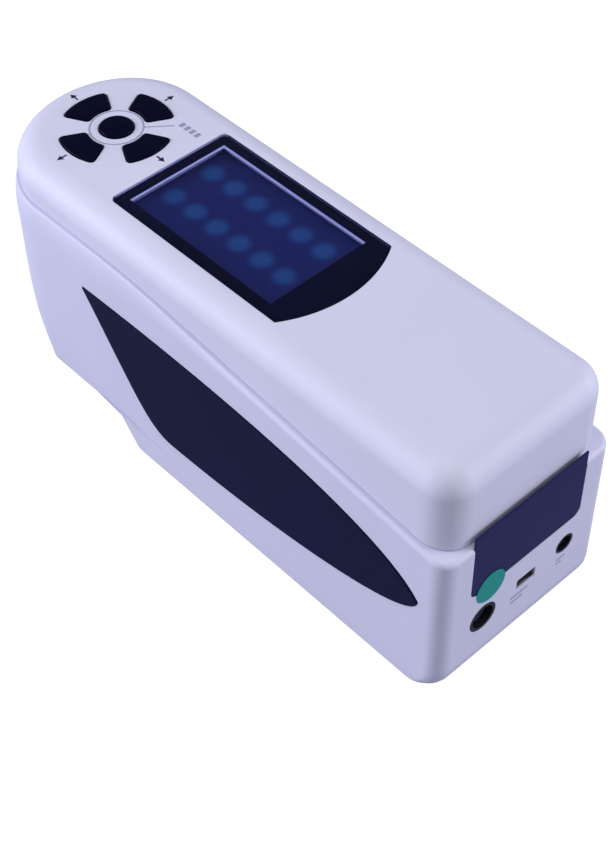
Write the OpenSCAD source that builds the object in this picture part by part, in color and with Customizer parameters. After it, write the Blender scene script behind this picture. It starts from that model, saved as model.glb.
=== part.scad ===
// Handheld colorimeter with an integrating sphere in its nose, a display and
// five keys on top, and two battery cells behind a door underneath.
// Tail at +X, nose at -X, near side at -Y, up is +Z. It stands on z = 0.

/* [Body] */
// Overall length, nose to tail
body_l = 206; // [204:1:214]
// Overall width, across the lower housing
body_w = 68; // [68:1:74]
// Height of the top face above the table
body_h = 91.5; // [91:0.5:98]
// Half the length of the nose's ellipse
nose_a = 31; // [30.5:0.5:33]
// Wall thickness of both shells
wall = 2.4; // [2.2:0.1:2.6]
// How far the top cover stands in from the lower housing
ledge = 2; // [1.8:0.1:2.2]
// Vertical corner radius at the tail of the lower housing
corner_r = 5.5; // [5:0.5:8]
// Vertical corner radius at the tail of the top cover
cover_corner_r = 10; // [9:0.5:11]
// Radius along the upper edge of the top cover
crown_r = 8.5; // [7:0.5:8.5]

/* [Parting line] */
// Height of the parting line at the nose
parting_nose_z = 78; // [76:0.5:79]
// Height of the parting line at the tail
parting_tail_z = 67.5; // [66:0.1:69]
// Distance from the nose end to where the parting line starts to drop
bend_from_nose = 62; // [59:1:65]
// Thickness of the seal between the shells
seal_h = 0.5; // [0.4:0.1:0.8]

/* [Underside] */
// How far the feet hold the underside above the table
foot_h = 1; // [0.8:0.1:1.4]
// Radius of a foot
foot_r = 4; // [3.5:0.5:4.5]
// Height of the underside of the nose above the table
nose_floor_z = 12.7; // [12:0.1:13.5]
// How late the front of the nose curves in towards its underside
chin_power = 8.5; // [7:0.1:9]
// Distance from the nose end to the foot of the step behind the nose
step_from_nose = 71; // [70:0.5:72]
// Radius of the tail where it meets the underside
tail_r = 12; // [11:0.5:12.5]
// Radius along the lower side edges
base_r = 2.5; // [2:0.5:3]

/* [Display] */
// Distance from the nose end to the display window
window_from_nose = 56.7; // [56:0.1:57]
// Length of the straight part of the display window
window_l = 72; // [71:0.5:74]
// Distance from each side of the body to the display window
window_side = 11.4; // [11:0.1:12]
// Bulge of the window's rear edge
window_bulge = 6.6; // [5:0.2:8]
// Thickness of the window
window_t = 1.2; // [1:0.1:1.3]
// Distance from the window's front edge to the part that lights up
screen_front = 4.7; // [4.3:0.1:5]
// Length of the part of the display that lights up
screen_l = 60.4; // [58:0.2:61]
// Distance from each side of the window to the part that lights up
screen_side = 4.7; // [4.5:0.1:5.2]

/* [Keys] */
// Distance from the nose end to the centre of the ring of keys
keys_from_nose = 31.9; // [31.4:0.1:32.2]
// Outer radius of the ring of keys
ring_r = 17.9; // [17:0.1:18]
// Inner radius of the ring of keys
ring_in_r = 9.3; // [9:0.1:10]
// Radius of the middle key
middle_r = 5.4; // [5.2:0.1:6.2]
// Half the angle that a ring key spans
key_half_angle = 28; // [25:1:30]
// How far a key stands out of the cover
key_proud = 0.6; // [0.6:0.1:1]
// Travel of a key
key_travel = 0.5; // [0.3:0.1:0.6]
// Gap between a key and its opening
key_gap = 0.3; // [0.2:0.05:0.4]

/* [Grips] */
// How far a grip stands out of the side
grip_proud = 0.5; // [0.2:0.1:0.8]
// Depth of a grip's pocket in the wall
grip_depth = 1.2; // [0.8:0.1:1.2]

/* [Optics] */
// Distance from the nose end to the middle of the measuring port
port_from_nose = 38; // [37:0.5:39]
// Inner radius of the integrating sphere
sphere_r = 20; // [18:0.5:20]
// Wall of the integrating sphere
sphere_wall = 2.5; // [2:0.1:2.5]
// Outer radius of the collar that the calibration cap goes over
collar_r = 13; // [12:0.5:13.5]
// Radius of the measuring aperture
aperture_r = 4; // [2:0.5:4.5]
// Tilt of the line that the sensor looks along
view_tilt = 8; // [6:1:9]

/* [Battery] */
// Radius of a battery cell
cell_r = 9.2; // [8.5:0.1:9.2]
// Length of a battery cell
cell_l = 66; // [64:0.5:66.5]
// Thickness of the battery door
door_t = 1.4; // [1.2:0.1:1.4]
// Gap round the battery door
door_gap = 0.3; // [0.2:0.05:0.4]

/* [Tail] */
// Distance from each side of the body to the dark plate on the tail
plate_side = 11.4; // [11:0.2:13]
// Lower edge of the dark plate
plate_z = 40; // [39:0.5:42]
// Radius of the power switch's bezel
switch_r = 5.2; // [5:0.1:6]
// Tilt of the power rocker to each side
rocker_tilt = 8; // [6:1:9]
// Radius of the charging socket's bore
jack_r = 2.75; // [2.5:0.05:2.9]
// Radius of the round sticker
sticker_r = 5.7; // [5:0.1:6]

/* [Hidden] */
$fn = 48;

shell_colour = [0.84, 0.84, 0.91];
dark_colour = [0.09, 0.10, 0.20];
board_colour = [0.06, 0.30, 0.18];
metal_colour = [0.72, 0.73, 0.76];

far = 300;                               // longer than anything here
cut = 0.5;                               // how far a cutting shape runs past a face
fit = 0.1;                               // gap between pieces that only locate each other
half_w = body_w / 2;
x_nose = -body_l / 2;
x_tail = body_l / 2;
nose_x = x_nose + nose_a;                // centre of the nose's ellipse
bend_x = x_nose + bend_from_nose;
step_x = x_nose + step_from_nose;
window_x = x_nose + window_from_nose;
window_w = body_w - 2 * window_side;
screen_x = window_x + screen_front;
screen_w = window_w - 2 * screen_side;
keys_x = x_nose + keys_from_nose;
port_x = x_nose + port_from_nose;
plate_w = body_w - 2 * plate_side;
top_inner_z = body_h - wall;
floor_z = foot_h + wall;                 // inner face of the floor
nose_inner_z = nose_floor_z + wall;
tail_wall_x = x_tail - wall;
chin_h = parting_nose_z - nose_floor_z;
cover_in = ledge + wall;                 // inset of the cover's inner face
step_run = 9;                            // how far the step leans towards the nose
lean = 0.3;                              // fall of the nose's underside towards the step
step_top = nose_floor_z - lean;
step_corner_r = 4;
step_bow = 0.6;                          // bulge of the step's front
board_t = 1.6;

// Parting line as [x, z] points: level at the nose, then a bend, then a slope.
bend_l = 30;
bend_steps = 3;
slope = (parting_nose_z - parting_tail_z) / (x_tail - bend_x - bend_l / 2);
parting = [
  [-far, parting_nose_z],
  for (i = [0 : bend_steps])
    let (t = i / bend_steps)
    [bend_x + bend_l * t, parting_nose_z - slope * bend_l / 2 * t * t],
  [far, parting_nose_z - slope * (far - bend_x - bend_l / 2)]
];
function parting_z(x) = lookup(x, parting);

// Height of the rounded shoulder under the parting line, as [x, height] points.
shoulder = [[bend_x + 9, 8], [bend_x + 28, 5], [bend_x + 46, 3], [bend_x + 64, 1.4]];
shoulder_in = 1.3;
shelf_in = cover_in + 0.2;               // inner edge of the rim that carries the cover
shelf_h = 3;

// A shell is a stack of closed outlines with the same count of points.
nose_n = 18;                             // segments round the nose
tail_n = 4;                              // segments round each tail corner
stations = [
  x_tail - 43, x_tail - 83, bend_x + bend_l, bend_x + bend_l * 2 / 3, bend_x + bend_l / 3, bend_x
];
ring_n = 2 * (tail_n + 1) + 2 * len(stations) + nose_n + 1;
least_r = 0.8;

function clamp01(v) = min(1, max(0, v));
function round_in(r, d) = d < r ? r - sqrt(max(0, r * r - (r - d) * (r - d))) : 0;
function step_front(z) = step_x - step_run * clamp01((z - foot_h) / (step_top - foot_h));
function tail_at(z, in) =
  z >= foot_h + tail_r ? x_tail - in
  : x_tail - tail_r + sqrt(max(0, pow(tail_r - in, 2) - pow(foot_h + tail_r - z, 2)));
function nose_at(z, in) =
  (nose_a - in) * (1 - pow(clamp01((parting_nose_z - z) / (chin_h - min(in, wall))), chin_power));

function tail_corner(side, z, in, back, r0) =
  let (r = max(r0 - in, least_r), x = tail_at(z, back) - r, y = half_w - in - r)
  [
    for (i = [0 : tail_n])
      let (a = 90 * (side > 0 ? i : tail_n - i) / tail_n)
      [x + r * cos(a), side * (y + r * sin(a)), z]
  ];

// Outline with the round nose. The nose can stand in further than the rest.
function nose_ring(z, in, nose_in = 0, r0 = corner_r) =
  let (n = len(stations), b = half_w - in - nose_in, a = nose_at(z, in + nose_in))
  concat(
    tail_corner(1, z, in, in, r0),
    [for (x = stations) [x, half_w - in - (x < step_x ? nose_in : 0), z]],
    [for (i = [0 : nose_n]) let (t = 90 * (1 - 2 * i / nose_n)) [nose_x - a * cos(t), b * sin(t), z]],
    [
      for (i = [1 : n])
        let (x = stations[n - i])
        [x, -(half_w - in - (x < step_x ? nose_in : 0)), z]
    ],
    tail_corner(-1, z, in, in, r0)
  );

// Outline below the step behind the nose: a straight front with round corners.
function step_ring(z, in, back) =
  let (
    b = half_w - in,
    r = step_corner_r,
    x0 = step_front(z) + back,
    x1 = tail_at(z, back) - max(corner_r - in, least_r),
    n = len(stations),
    turn = nose_n / 3,
    span = nose_n - 2 * turn
  )
  concat(
    tail_corner(1, z, in, back, corner_r),
    [for (i = [1 : n]) [x1 + (x0 + r - x1) * i / (n + 1), b, z]],
    [
      for (i = [0 : nose_n])
        let (
          k = min(i, nose_n - i),
          side = i < nose_n / 2 ? 1 : -1,
          a = 90 * min(k, turn) / turn
        )
        i > turn && i < nose_n - turn
          ? let (v = 1 - 2 * (i - turn) / span) [x0 - step_bow * (1 - v * v), (b - r) * v, z]
          : [x0 + r - r * sin(a), side * (b - r + r * cos(a)), z]
    ],
    [for (i = [1 : n]) [x1 + (x0 + r - x1) * (n + 1 - i) / (n + 1), -b, z]],
    tail_corner(-1, z, in, back, corner_r)
  );

// Outline that follows the parting line, lowered by drop and a share of the shoulder.
function parting_ring(in, drop, share = 0, r0 = corner_r) =
  [
    for (p = nose_ring(body_h, in, 0, r0))
      [p.x, p.y, parting_z(p.x) - drop - share * lookup(p.x, shoulder)]
  ];

// The end caps are strips between the two mirrored sides of the outline.
function cap(base, flip) =
  [
    for (i = [0 : floor(ring_n / 2) - 1])
      let (a = base + i, b = base + i + 1, c = base + ring_n - 2 - i, d = base + ring_n - 1 - i)
      each
        b == c ? [flip ? [a, d, b] : [a, b, d]]
        : flip ? [[a, c, b], [a, d, c]]
        : [[a, b, c], [a, c, d]]
  ];

module skin(rings) {
  m = len(rings);
  sides = [
    for (j = [0 : m - 2])
      for (i = [0 : ring_n - 1])
        let (k = (i + 1) % ring_n, low = j * ring_n, high = low + ring_n)
        each [[low + i, high + k, low + k], [low + i, high + i, high + k]]
  ];
  polyhedron(
    [for (r = rings) each r],
    concat(sides, cap(0, false), cap((m - 1) * ring_n, true)),
    convexity = 8
  );
}

// Depths under the parting line at which the front of the nose gets an
// outline, as shares of the way to its underside.
chin_shares = [0.93, 0.89, 0.83, 0.76, 0.66, 0.5];
base_turns = [90, 55, 25, 0];

module housing_outside() {
  skin(concat(
    [
      for (a = base_turns)
        step_ring(foot_h + base_r * (1 - sin(a)) + (a == 90 ? 0 : 0.01), base_r * (1 - cos(a)), 0)
    ],
    [for (t = [0.3, 0.6, 1]) step_ring(foot_h + base_r + (step_top - foot_h - base_r) * t, 0, 0)],
    [
      for (d = [0, 0.15, 0.5, 1])
        nose_ring(nose_floor_z + base_r * d, 0, round_in(base_r, base_r * d))
    ],
    [for (u = chin_shares) nose_ring(parting_nose_z - chin_h * u, 0)],
    [
      parting_ring(0, 0, 1),
      parting_ring(shoulder_in * 0.25, 0, 0.4),
      parting_ring(shoulder_in, 0)
    ]
  ));
}

module housing_inside() {
  low_zs = [for (t = [0, 0.35, 0.7, 1]) floor_z + (step_top - foot_h) * t];
  skin(concat(
    [for (z = low_zs) step_ring(z, wall, wall)],
    [nose_ring(nose_inner_z, wall)],
    [for (u = concat([0.97], chin_shares)) nose_ring(parting_nose_z - (chin_h - wall) * u, wall)],
    [
      parting_ring(wall, shelf_h + shelf_in - wall),
      parting_ring(shelf_in, shelf_h),
      parting_ring(shelf_in, -shelf_h)
    ]
  ));
}

cover_r0 = cover_corner_r + ledge;

module cover_outside() {
  skin(concat(
    [parting_ring(ledge, -seal_h, 0, cover_r0)],
    [
      for (a = [0, 15, 30, 45, 60, 75, 90])
        nose_ring(body_h - crown_r * (1 - sin(a)), ledge + crown_r * (1 - cos(a)), 0, cover_r0)
    ]
  ));
}

module cover_inside() {
  r = crown_r - wall;
  skin(concat(
    [parting_ring(cover_in, 1, 0, cover_r0)],
    [
      for (a = [0, 22.5, 45, 67.5, 90])
        nose_ring(top_inner_z - r * (1 - sin(a)), cover_in + r * (1 - cos(a)), 0, cover_r0)
    ]
  ));
}

// A round bar along X, from x0 to x1, at a place on the tail.
module bar_x(x0, x1, y, z, r) {
  translate([x0, y, z])
    rotate([0, 90, 0])
      cylinder(h = x1 - x0, r = r);
}

// A block given by its two corners.
module block(low, high) {
  translate(low)
    cube(high - low);
}

// Screws that join the shells, inside two columns on each side.
case_xs = [x_nose + 51.5, x_tail - 16];
case_y = half_w - shelf_in - 3.8;
column_r = 4;
column_drop = 6;                         // top of a column below the parting line
case_boss_r = 3.4;
screw_r = 1.5;
screw_gap = 0.1;
head_r = 2.8;
head_h = 2.4;
head_gap = 0.3;
seat_t = 3;                              // wall above a screw's head
case_grip = 9;                           // length of a screw in the cover's boss
function column_top(x) = parting_z(x) - column_drop;
function underside(x) = x < step_x ? nose_floor_z : foot_h;

// Screen, window and the boards below them.
mask_t = 0.3;
window_seat_z = body_h - window_t - mask_t;
window_corner_r = 2;
screen_gap = 0.6;
frame_t = 0.6;
panel_t = 3;
frame_h = 4.2;
frame_z = top_inner_z - 0.2;
panel_rim = 3.4;                         // glass round the part that lights up
screen_mid = screen_x + screen_l / 2;
display_board_z = frame_z - frame_h - board_t;
display_board_l = screen_l + 2 * 9.4;
display_board_w = screen_w + 2 * 3.1;
display_post = [display_board_l / 2 - 2.6, display_board_w / 2 - 3.2];
post_r = 2.2;
small_r = 0.9;
small_l = 5;                             // length of a small screw below what it holds

// Keys and what lies under them, from the top down.
flange_t = 1.2;
flange_out = 0.8;
flange_z = top_inner_z - fit - flange_t;
mat_t = 1.2;
mat_z = flange_z - key_travel - 0.3 - mat_t;
mat_r = ring_r + 1.6;
plunger_r = 1.9;
plunger_z = mat_z + 0.5;
switch_h = 3;
key_board_z = plunger_z - key_travel - 0.2 - switch_h - board_t;
key_board_r = 24.5;
key_post_r = 22.1;                       // distance of the posts from the ring's centre
middle_extra = 0.3;
ring_mid_r = (ring_in_r + ring_r) / 2;

// Optics.
sphere_out = sphere_r + sphere_wall;
sphere_gap = 1.5;                        // from the sphere down to the floor under it
sphere_z = nose_inner_z + sphere_gap + sphere_out;
plate_t = 1.2;
plate_x = [port_x - 10, port_x + 7];
sphere_post_y = half_w - wall - 3.6;
port_r = 5;                              // light path from the aperture to the sphere
spout_r = 7.9;
collar_bore = spout_r + fit;
neck_r = collar_r - 2.1;
aperture_t = 2.5;
barrel_r = 6;
barrel_bore = 4.2;
barrel_low = sphere_z + sphere_out - 3.7; // distances along the line of sight
barrel_high = barrel_low + 12;
lens_low = barrel_low + 4;
lens_t = 3;
lamp_board_z = sphere_z + sphere_out + 1.6;
lamp_board_r = 19;
lamp_r = 1.5;
lamp_ring_r = 12;
lamp_angles = [60 : 40 : 300];
lamp_post_angles = [100, 180, 260];
lamp_post_ring = 15.8;

// Battery.
cell_y = cell_r + 0.3;
cell_z = floor_z - 0.2 + cell_r;
holder_wall = 2;
contact_gap = 1.2;
contact_t = 0.6;
cell_end = contact_gap + contact_t + 0.2 + holder_wall;
cell_x = x_tail - 25 - cell_end - cell_l;
holder_x = [cell_x - cell_end, cell_x + cell_l + cell_end];
holder_top = cell_z + cell_r + 1.6;
bay_y = cell_y + cell_r + 0.1;
holder_y = bay_y + 2;
door_x = [holder_x[0] - 9, holder_x[1]];
door_y = bay_y + 1.7;
door_screw_x = holder_x[0] - 4.8;

// Boards.
main_board_z = 29;
main_board_x = [step_x + 6, x_tail - 14.7];
main_board_y = case_y - column_r - 0.8;
main_post_r = 3;
main_post_y = main_board_y - main_post_r - 0.8;
main_post = [[main_board_x[0] + 6, main_post_y], [main_board_x[1] - 5.8, main_post_y]];
foot_y = half_w - base_r - foot_r - 0.6;
foot_places = [[step_x + 8, foot_y], [x_tail - 25, foot_y]];
foot_recess = 0.4;

// Tail fittings.
plate_depth = 0.6;
plate_top = parting_tail_z - 1;
switch_y = -(half_w - 17.6);
switch_z = 26.9;
switch_body_r = switch_r - 0.6;
bezel_t = 1;
rocker_r = switch_r - 1.3;
rocker_x = x_tail - rocker_r - 0.3;
rocker_gap = 0.2;
pin_r = 0.8;
pin_gap = 0.05;
usb_y = 1.3;
usb_z = 28.6;
usb_w = 7.5;
usb_h = 3.9;
jack_y = half_w - 16.4;
jack_z = 30.3;
jack_out = jack_r + 0.7;
socket_gap = 0.2;
socket_board_x = main_board_x[1];
socket_board_y = [usb_y - 6, jack_y + jack_out + 0.3];
socket_board_z = [21, 37];
sticker_at = [-(half_w - 19.6), 39.4];
sticker_t = 0.15;

// Outline of a grip: three cubic curves through the point at the nose, the
// round end at the tail and the low corner behind the nose.
grip_curves = [
  [[x_nose + 53.2, 61], [x_nose + 100.6, 62.4], [x_tail - 25.6, 61.7], [x_tail - 9.2, 41.3]],
  [[x_tail - 9.2, 41.3], [x_tail - 10.3, 29.1], [x_tail - 66.6, 19.8], [x_nose + 91.8, 19.6]],
  [[x_nose + 91.8, 19.6], [x_nose + 79.5, 19.4], [x_nose + 73.9, 32.6], [x_nose + 53.2, 61]]
];
grip_steps = 12;
function cubic(p, t) =
  pow(1 - t, 3) * p[0] + 3 * t * pow(1 - t, 2) * p[1] + 3 * t * t * (1 - t) * p[2] + pow(t, 3) * p[3];
grip_outline = [for (c = grip_curves) for (i = [0 : grip_steps - 1]) cubic(c, i / grip_steps)];

module grip(side) {
  y = half_w - grip_depth;
  translate([0, side > 0 ? half_w + grip_proud : -y, 0])
    rotate([90, 0, 0])
      linear_extrude(grip_depth + grip_proud)
        polygon(grip_outline);
}

module window_outline(in) {
  w = window_w - 2 * in;
  x0 = window_x + in;
  x1 = window_x + window_l;
  bulge = window_bulge - in;
  r = (w * w / 4 + bulge * bulge) / (2 * bulge);
  translate([x0 + window_corner_r, -w / 2])
    square([x1 - x0 - window_corner_r, w]);
  translate([x0, -w / 2 + window_corner_r])
    square([window_corner_r + cut, w - 2 * window_corner_r]);
  for (side = [-1, 1])
    translate([x0 + window_corner_r, side * (w / 2 - window_corner_r)])
      circle(window_corner_r);
  intersection() {
    translate([x1 + bulge - r, 0])
      circle(r, $fn = 160);
    translate([x1 - cut, -w / 2])
      square([window_bulge + 2 * cut, w]);
  }
}

module screen_hole(grow, low, high) {
  block(
    [screen_x - grow, -screen_w / 2 - grow, low],
    [screen_x + screen_l + grow, screen_w / 2 + grow, high]
  );
}

// Outline of the ring key that faces +X, grown all round.
module key_outline(grow) {
  apex = grow / sin(key_half_angle);
  reach = 2 * ring_r;
  intersection() {
    difference() {
      circle(ring_r + grow);
      circle(ring_in_r - grow);
    }
    polygon([
      [-apex, 0],
      [reach - apex, -reach * tan(key_half_angle)],
      [reach - apex, reach * tan(key_half_angle)]
    ]);
  }
}

module at_key(turn) {
  translate([keys_x, 0, 0])
    rotate([0, 0, turn])
      children();
}

module ring_key(turn) {
  at_key(turn) {
    translate([0, 0, flange_z])
      linear_extrude(body_h + key_proud - flange_z)
        key_outline(0);
    translate([0, 0, flange_z])
      linear_extrude(flange_t)
        key_outline(flange_out);
    translate([ring_mid_r, 0, plunger_z])
      cylinder(h = flange_z - plunger_z + cut, r = plunger_r);
  }
}

module key_places() {
  at_key(0)
    children();
  for (turn = [0, 90, 180, 270])
    at_key(turn)
      translate([ring_mid_r, 0, 0])
        children();
}

module key_post_places() {
  for (turn = [45, 135, 225, 315])
    at_key(turn)
      translate([key_post_r, 0, 0])
        children();
}

module display_post_places() {
  for (sx = [-1, 1])
    for (sy = [-1, 1])
      translate([screen_mid + sx * display_post.x, sy * display_post.y, 0])
        children();
}

module case_places(x) {
  for (sy = [-1, 1])
    translate([x, sy * case_y, 0])
      children();
}

module on_both_sides(places) {
  for (p = places)
    for (sy = [-1, 1])
      translate([p.x, sy * p.y, 0])
        children();
}

// Frame of the line of sight: leans from the port towards the tail.
module sight() {
  translate([port_x, 0, 0])
    rotate([0, view_tilt, 0])
      children();
}

module top_cover() {
  color(shell_colour)
    difference() {
      union() {
        difference() {
          cover_outside();
          cover_inside();
        }
        for (x = case_xs)
          case_places(x)
            translate([0, 0, column_top(x) + fit])
              cylinder(h = top_inner_z + cut - column_top(x) - fit, r = case_boss_r);
        display_post_places()
          translate([0, 0, display_board_z + board_t])
            cylinder(h = top_inner_z + cut - display_board_z - board_t, r = post_r);
        key_post_places()
          translate([0, 0, key_board_z + board_t])
            cylinder(h = top_inner_z + cut - key_board_z - board_t, r = post_r);
      }
      translate([0, 0, window_seat_z])
        linear_extrude(window_t + mask_t + cut)
          window_outline(0);
      screen_hole(screen_gap, top_inner_z - cut, body_h);
      for (turn = [0, 90, 180, 270])
        at_key(turn)
          translate([0, 0, top_inner_z - cut])
            linear_extrude(wall + 2 * cut)
              key_outline(key_gap);
      at_key(0)
        translate([0, 0, top_inner_z - cut])
          cylinder(h = wall + 2 * cut, r = middle_r + key_gap);
      for (x = case_xs)
        case_places(x)
          translate([0, 0, column_top(x)])
            cylinder(h = case_grip + 1, r = screw_r + screw_gap);
      display_post_places()
        translate([0, 0, display_board_z])
          cylinder(h = board_t + 3, r = small_r + screw_gap);
      key_post_places()
        translate([0, 0, key_board_z])
          cylinder(h = board_t + 3, r = small_r + screw_gap);
    }
}

module lower_housing() {
  color(shell_colour)
    difference() {
      union() {
        difference() {
          housing_outside();
          housing_inside();
        }
        for (x = case_xs)
          case_places(x)
            translate([0, 0, underside(x) + 1])
              cylinder(h = column_top(x) - underside(x) - 1, r = column_r);
        for (sy = [-1, 1])
          translate([port_x, sy * sphere_post_y, nose_floor_z + 1])
            cylinder(h = sphere_z - plate_t - nose_floor_z - 1, r = main_post_r);
        on_both_sides(main_post)
          translate([0, 0, foot_h + 1])
            cylinder(h = main_board_z - foot_h - 1, r = main_post_r);
        translate([door_screw_x, 0, floor_z - cut])
          cylinder(h = 5, r = main_post_r);
      }
      for (side = [-1, 1])
        grip(side);
      for (x = case_xs)
        case_places(x) {
          cylinder(h = column_top(x) - seat_t, r = head_r + head_gap);
          cylinder(h = far, r = screw_r + screw_gap);
        }
      for (sy = [-1, 1])
        translate([port_x, sy * sphere_post_y, sphere_z - plate_t - small_l - 2])
          cylinder(h = small_l + 3, r = small_r + screw_gap);
      on_both_sides(main_post)
        translate([0, 0, main_board_z - small_l - 2])
          cylinder(h = small_l + 3, r = small_r + screw_gap);
      on_both_sides(foot_places)
        cylinder(h = foot_h + foot_recess, r = foot_r + fit / 2);
      door_shape(door_gap, 0, foot_h + door_t);
      block(
        [holder_x[0] + holder_wall + 1, -bay_y, 0],
        [holder_x[1] - holder_wall - 1, bay_y, floor_z + cut]
      );
      translate([door_screw_x, 0, 0])
        cylinder(h = floor_z + 3.5, r = small_r + screw_gap);
      translate([port_x, 0, 0])
        cylinder(h = nose_inner_z + cut, r = neck_r + fit);
      block(
        [x_tail - plate_depth, -plate_w / 2, plate_z],
        [x_tail + cut, plate_w / 2, plate_top]
      );
      bar_x(tail_wall_x - cut, x_tail + cut, switch_y, switch_z, switch_body_r + fit);
      bar_x(x_tail - bezel_t, x_tail + cut, switch_y, switch_z, switch_r + fit);
      bar_x(tail_wall_x - cut, x_tail + cut, jack_y, jack_z, jack_out + socket_gap);
      usb_block(tail_wall_x - cut, x_tail + cut, socket_gap);
    }
}

module parting_seal() {
  side = 0.3;                            // how far the seal stays inside the cover's wall
  color([0.12, 0.12, 0.16])
    difference() {
      skin([
        parting_ring(ledge + side, 0, 0, cover_r0),
        parting_ring(ledge + side, -seal_h, 0, cover_r0)
      ]);
      skin([
        parting_ring(cover_in - side, 1, 0, cover_r0),
        parting_ring(cover_in - side, -seal_h - 1, 0, cover_r0)
      ]);
    }
}

module near_grip() {
  color(dark_colour)
    grip(-1);
}

module far_grip() {
  color(dark_colour)
    grip(1);
}

module display_window() {
  color([0.25, 0.28, 0.48])
    translate([0, 0, body_h - window_t])
      linear_extrude(window_t)
        window_outline(fit);
}

module window_mask() {
  color([0.05, 0.05, 0.10])
    difference() {
      translate([0, 0, window_seat_z])
        linear_extrude(mask_t)
          window_outline(fit);
      screen_hole(0, window_seat_z - cut, body_h);
    }
}

module display_frame() {
  side = panel_rim + fit + frame_t;
  color(metal_colour)
    difference() {
      screen_hole(side, frame_z - frame_h, frame_z);
      screen_hole(panel_rim + fit, frame_z - frame_h - cut, frame_z - frame_t);
      screen_hole(1.2, frame_z - frame_h, frame_z + cut);
    }
}

module display_panel() {
  color([0.16, 0.18, 0.36])
    screen_hole(panel_rim, frame_z - frame_t - panel_t, frame_z - frame_t);
}

module display_board() {
  spacer = 0.6;                          // from the board up to the back of the panel
  color(board_colour)
    difference() {
      union() {
        block(
          [screen_mid - display_board_l / 2, -display_board_w / 2, display_board_z],
          [screen_mid + display_board_l / 2, display_board_w / 2, display_board_z + board_t]
        );
        screen_hole(-4, display_board_z + board_t - cut, display_board_z + board_t + spacer);
      }
      display_post_places()
        translate([0, 0, display_board_z - cut])
          cylinder(h = board_t + 2 * cut, r = small_r + screw_gap);
    }
}

module nose_key() {
  color(dark_colour)
    ring_key(180);
}

module tail_key() {
  color(dark_colour)
    ring_key(0);
}

module near_key() {
  color(dark_colour)
    ring_key(270);
}

module far_key() {
  color(dark_colour)
    ring_key(90);
}

module middle_key() {
  color(dark_colour)
    at_key(0) {
      translate([0, 0, flange_z])
        cylinder(h = body_h + key_proud + middle_extra - flange_z, r = middle_r);
      translate([0, 0, flange_z])
        cylinder(h = flange_t, r = middle_r + flange_out);
      translate([0, 0, plunger_z])
        cylinder(h = flange_z - plunger_z + cut, r = plunger_r);
    }
}

module key_mat() {
  skirt = 1;
  color([0.75, 0.75, 0.78])
    difference() {
      at_key(0)
        translate([0, 0, key_board_z + board_t])
          cylinder(h = mat_z + mat_t - key_board_z - board_t, r = mat_r);
      at_key(0)
        translate([0, 0, key_board_z])
          cylinder(h = mat_z - key_board_z, r = mat_r - skirt);
      key_places()
        translate([0, 0, mat_z - cut])
          cylinder(h = mat_t + 2 * cut, r = plunger_r + 0.4);
    }
}

module key_switches() {
  size = 5;
  button = 0.8;
  color(metal_colour)
    key_places() {
      translate([-size / 2, -size / 2, key_board_z + board_t])
        cube([size, size, switch_h - button]);
      translate([0, 0, key_board_z + board_t])
        cylinder(h = switch_h, r = plunger_r - 0.3);
    }
}

module key_board() {
  color(board_colour)
    difference() {
      at_key(0)
        translate([0, 0, key_board_z])
          cylinder(h = board_t, r = key_board_r);
      key_post_places()
        translate([0, 0, key_board_z - cut])
          cylinder(h = board_t + 2 * cut, r = small_r + screw_gap);
    }
}

module half_sphere(r, up) {
  intersection() {
    translate([port_x, 0, sphere_z])
      sphere(r, $fn = 64);
    translate([port_x - r - 1, -r - 1, up ? sphere_z : sphere_z - r - 1])
      cube([2 * r + 2, 2 * r + 2, r + 1]);
  }
}

module sphere_plate(z) {
  difference() {
    block([plate_x[0], -sphere_post_y - 2.6, z], [plate_x[1], sphere_post_y + 2.6, z + plate_t]);
    for (sy = [-1, 1])
      translate([port_x, sy * sphere_post_y, z - cut])
        cylinder(h = plate_t + 2 * cut, r = small_r + screw_gap);
  }
}

module sphere_base() {
  color([0.92, 0.92, 0.90])
    difference() {
      union() {
        half_sphere(sphere_out, false);
        sphere_plate(sphere_z - plate_t);
        translate([port_x, 0, aperture_t])
          cylinder(h = sphere_z - sphere_r - aperture_t, r = spout_r);
      }
      translate([port_x, 0, sphere_z])
        sphere(sphere_r, $fn = 64);
      translate([port_x, 0, 0])
        cylinder(h = sphere_z, r = port_r);
    }
}

module sphere_cap() {
  color([0.92, 0.92, 0.90])
    difference() {
      union() {
        half_sphere(sphere_out, true);
        sphere_plate(sphere_z);
        translate([port_x, 0, 0])
          for (a = lamp_post_angles)
            rotate([0, 0, a])
              translate([lamp_post_ring, 0, sphere_z + sphere_r / 2])
                cylinder(h = lamp_board_z - sphere_z - sphere_r / 2, r = 2);
      }
      translate([port_x, 0, sphere_z])
        sphere(sphere_r, $fn = 64);
      sight()
        translate([0, 0, sphere_z])
          cylinder(h = far, r = barrel_r + fit);
      translate([port_x, 0, 0])
        for (a = lamp_angles)
          rotate([0, 0, a])
            translate([lamp_ring_r, 0, sphere_z])
              cylinder(h = far, r = lamp_r + fit);
    }
}

module sphere_screws() {
  color(metal_colour)
    for (sy = [-1, 1])
      translate([port_x, sy * sphere_post_y, 0]) {
        translate([0, 0, sphere_z - plate_t - small_l])
          cylinder(h = small_l + 2 * plate_t + cut, r = small_r);
        translate([0, 0, sphere_z + plate_t])
          cylinder(h = 1.4, r = 2);
      }
}

module port_collar() {
  color([0.10, 0.10, 0.14])
    translate([port_x, 0, 0])
      difference() {
        union() {
          cylinder(h = nose_floor_z - lean, r = collar_r);
          cylinder(h = nose_inner_z, r = neck_r);
        }
        translate([0, 0, -cut])
          cylinder(h = nose_inner_z + 2 * cut, r = collar_bore);
      }
}

module aperture_ring() {
  color([0.95, 0.95, 0.93])
    translate([port_x, 0, 0])
      difference() {
        cylinder(h = aperture_t, r = spout_r);
        translate([0, 0, -cut])
          cylinder(h = aperture_t + 2 * cut, r = aperture_r);
      }
}

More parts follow.
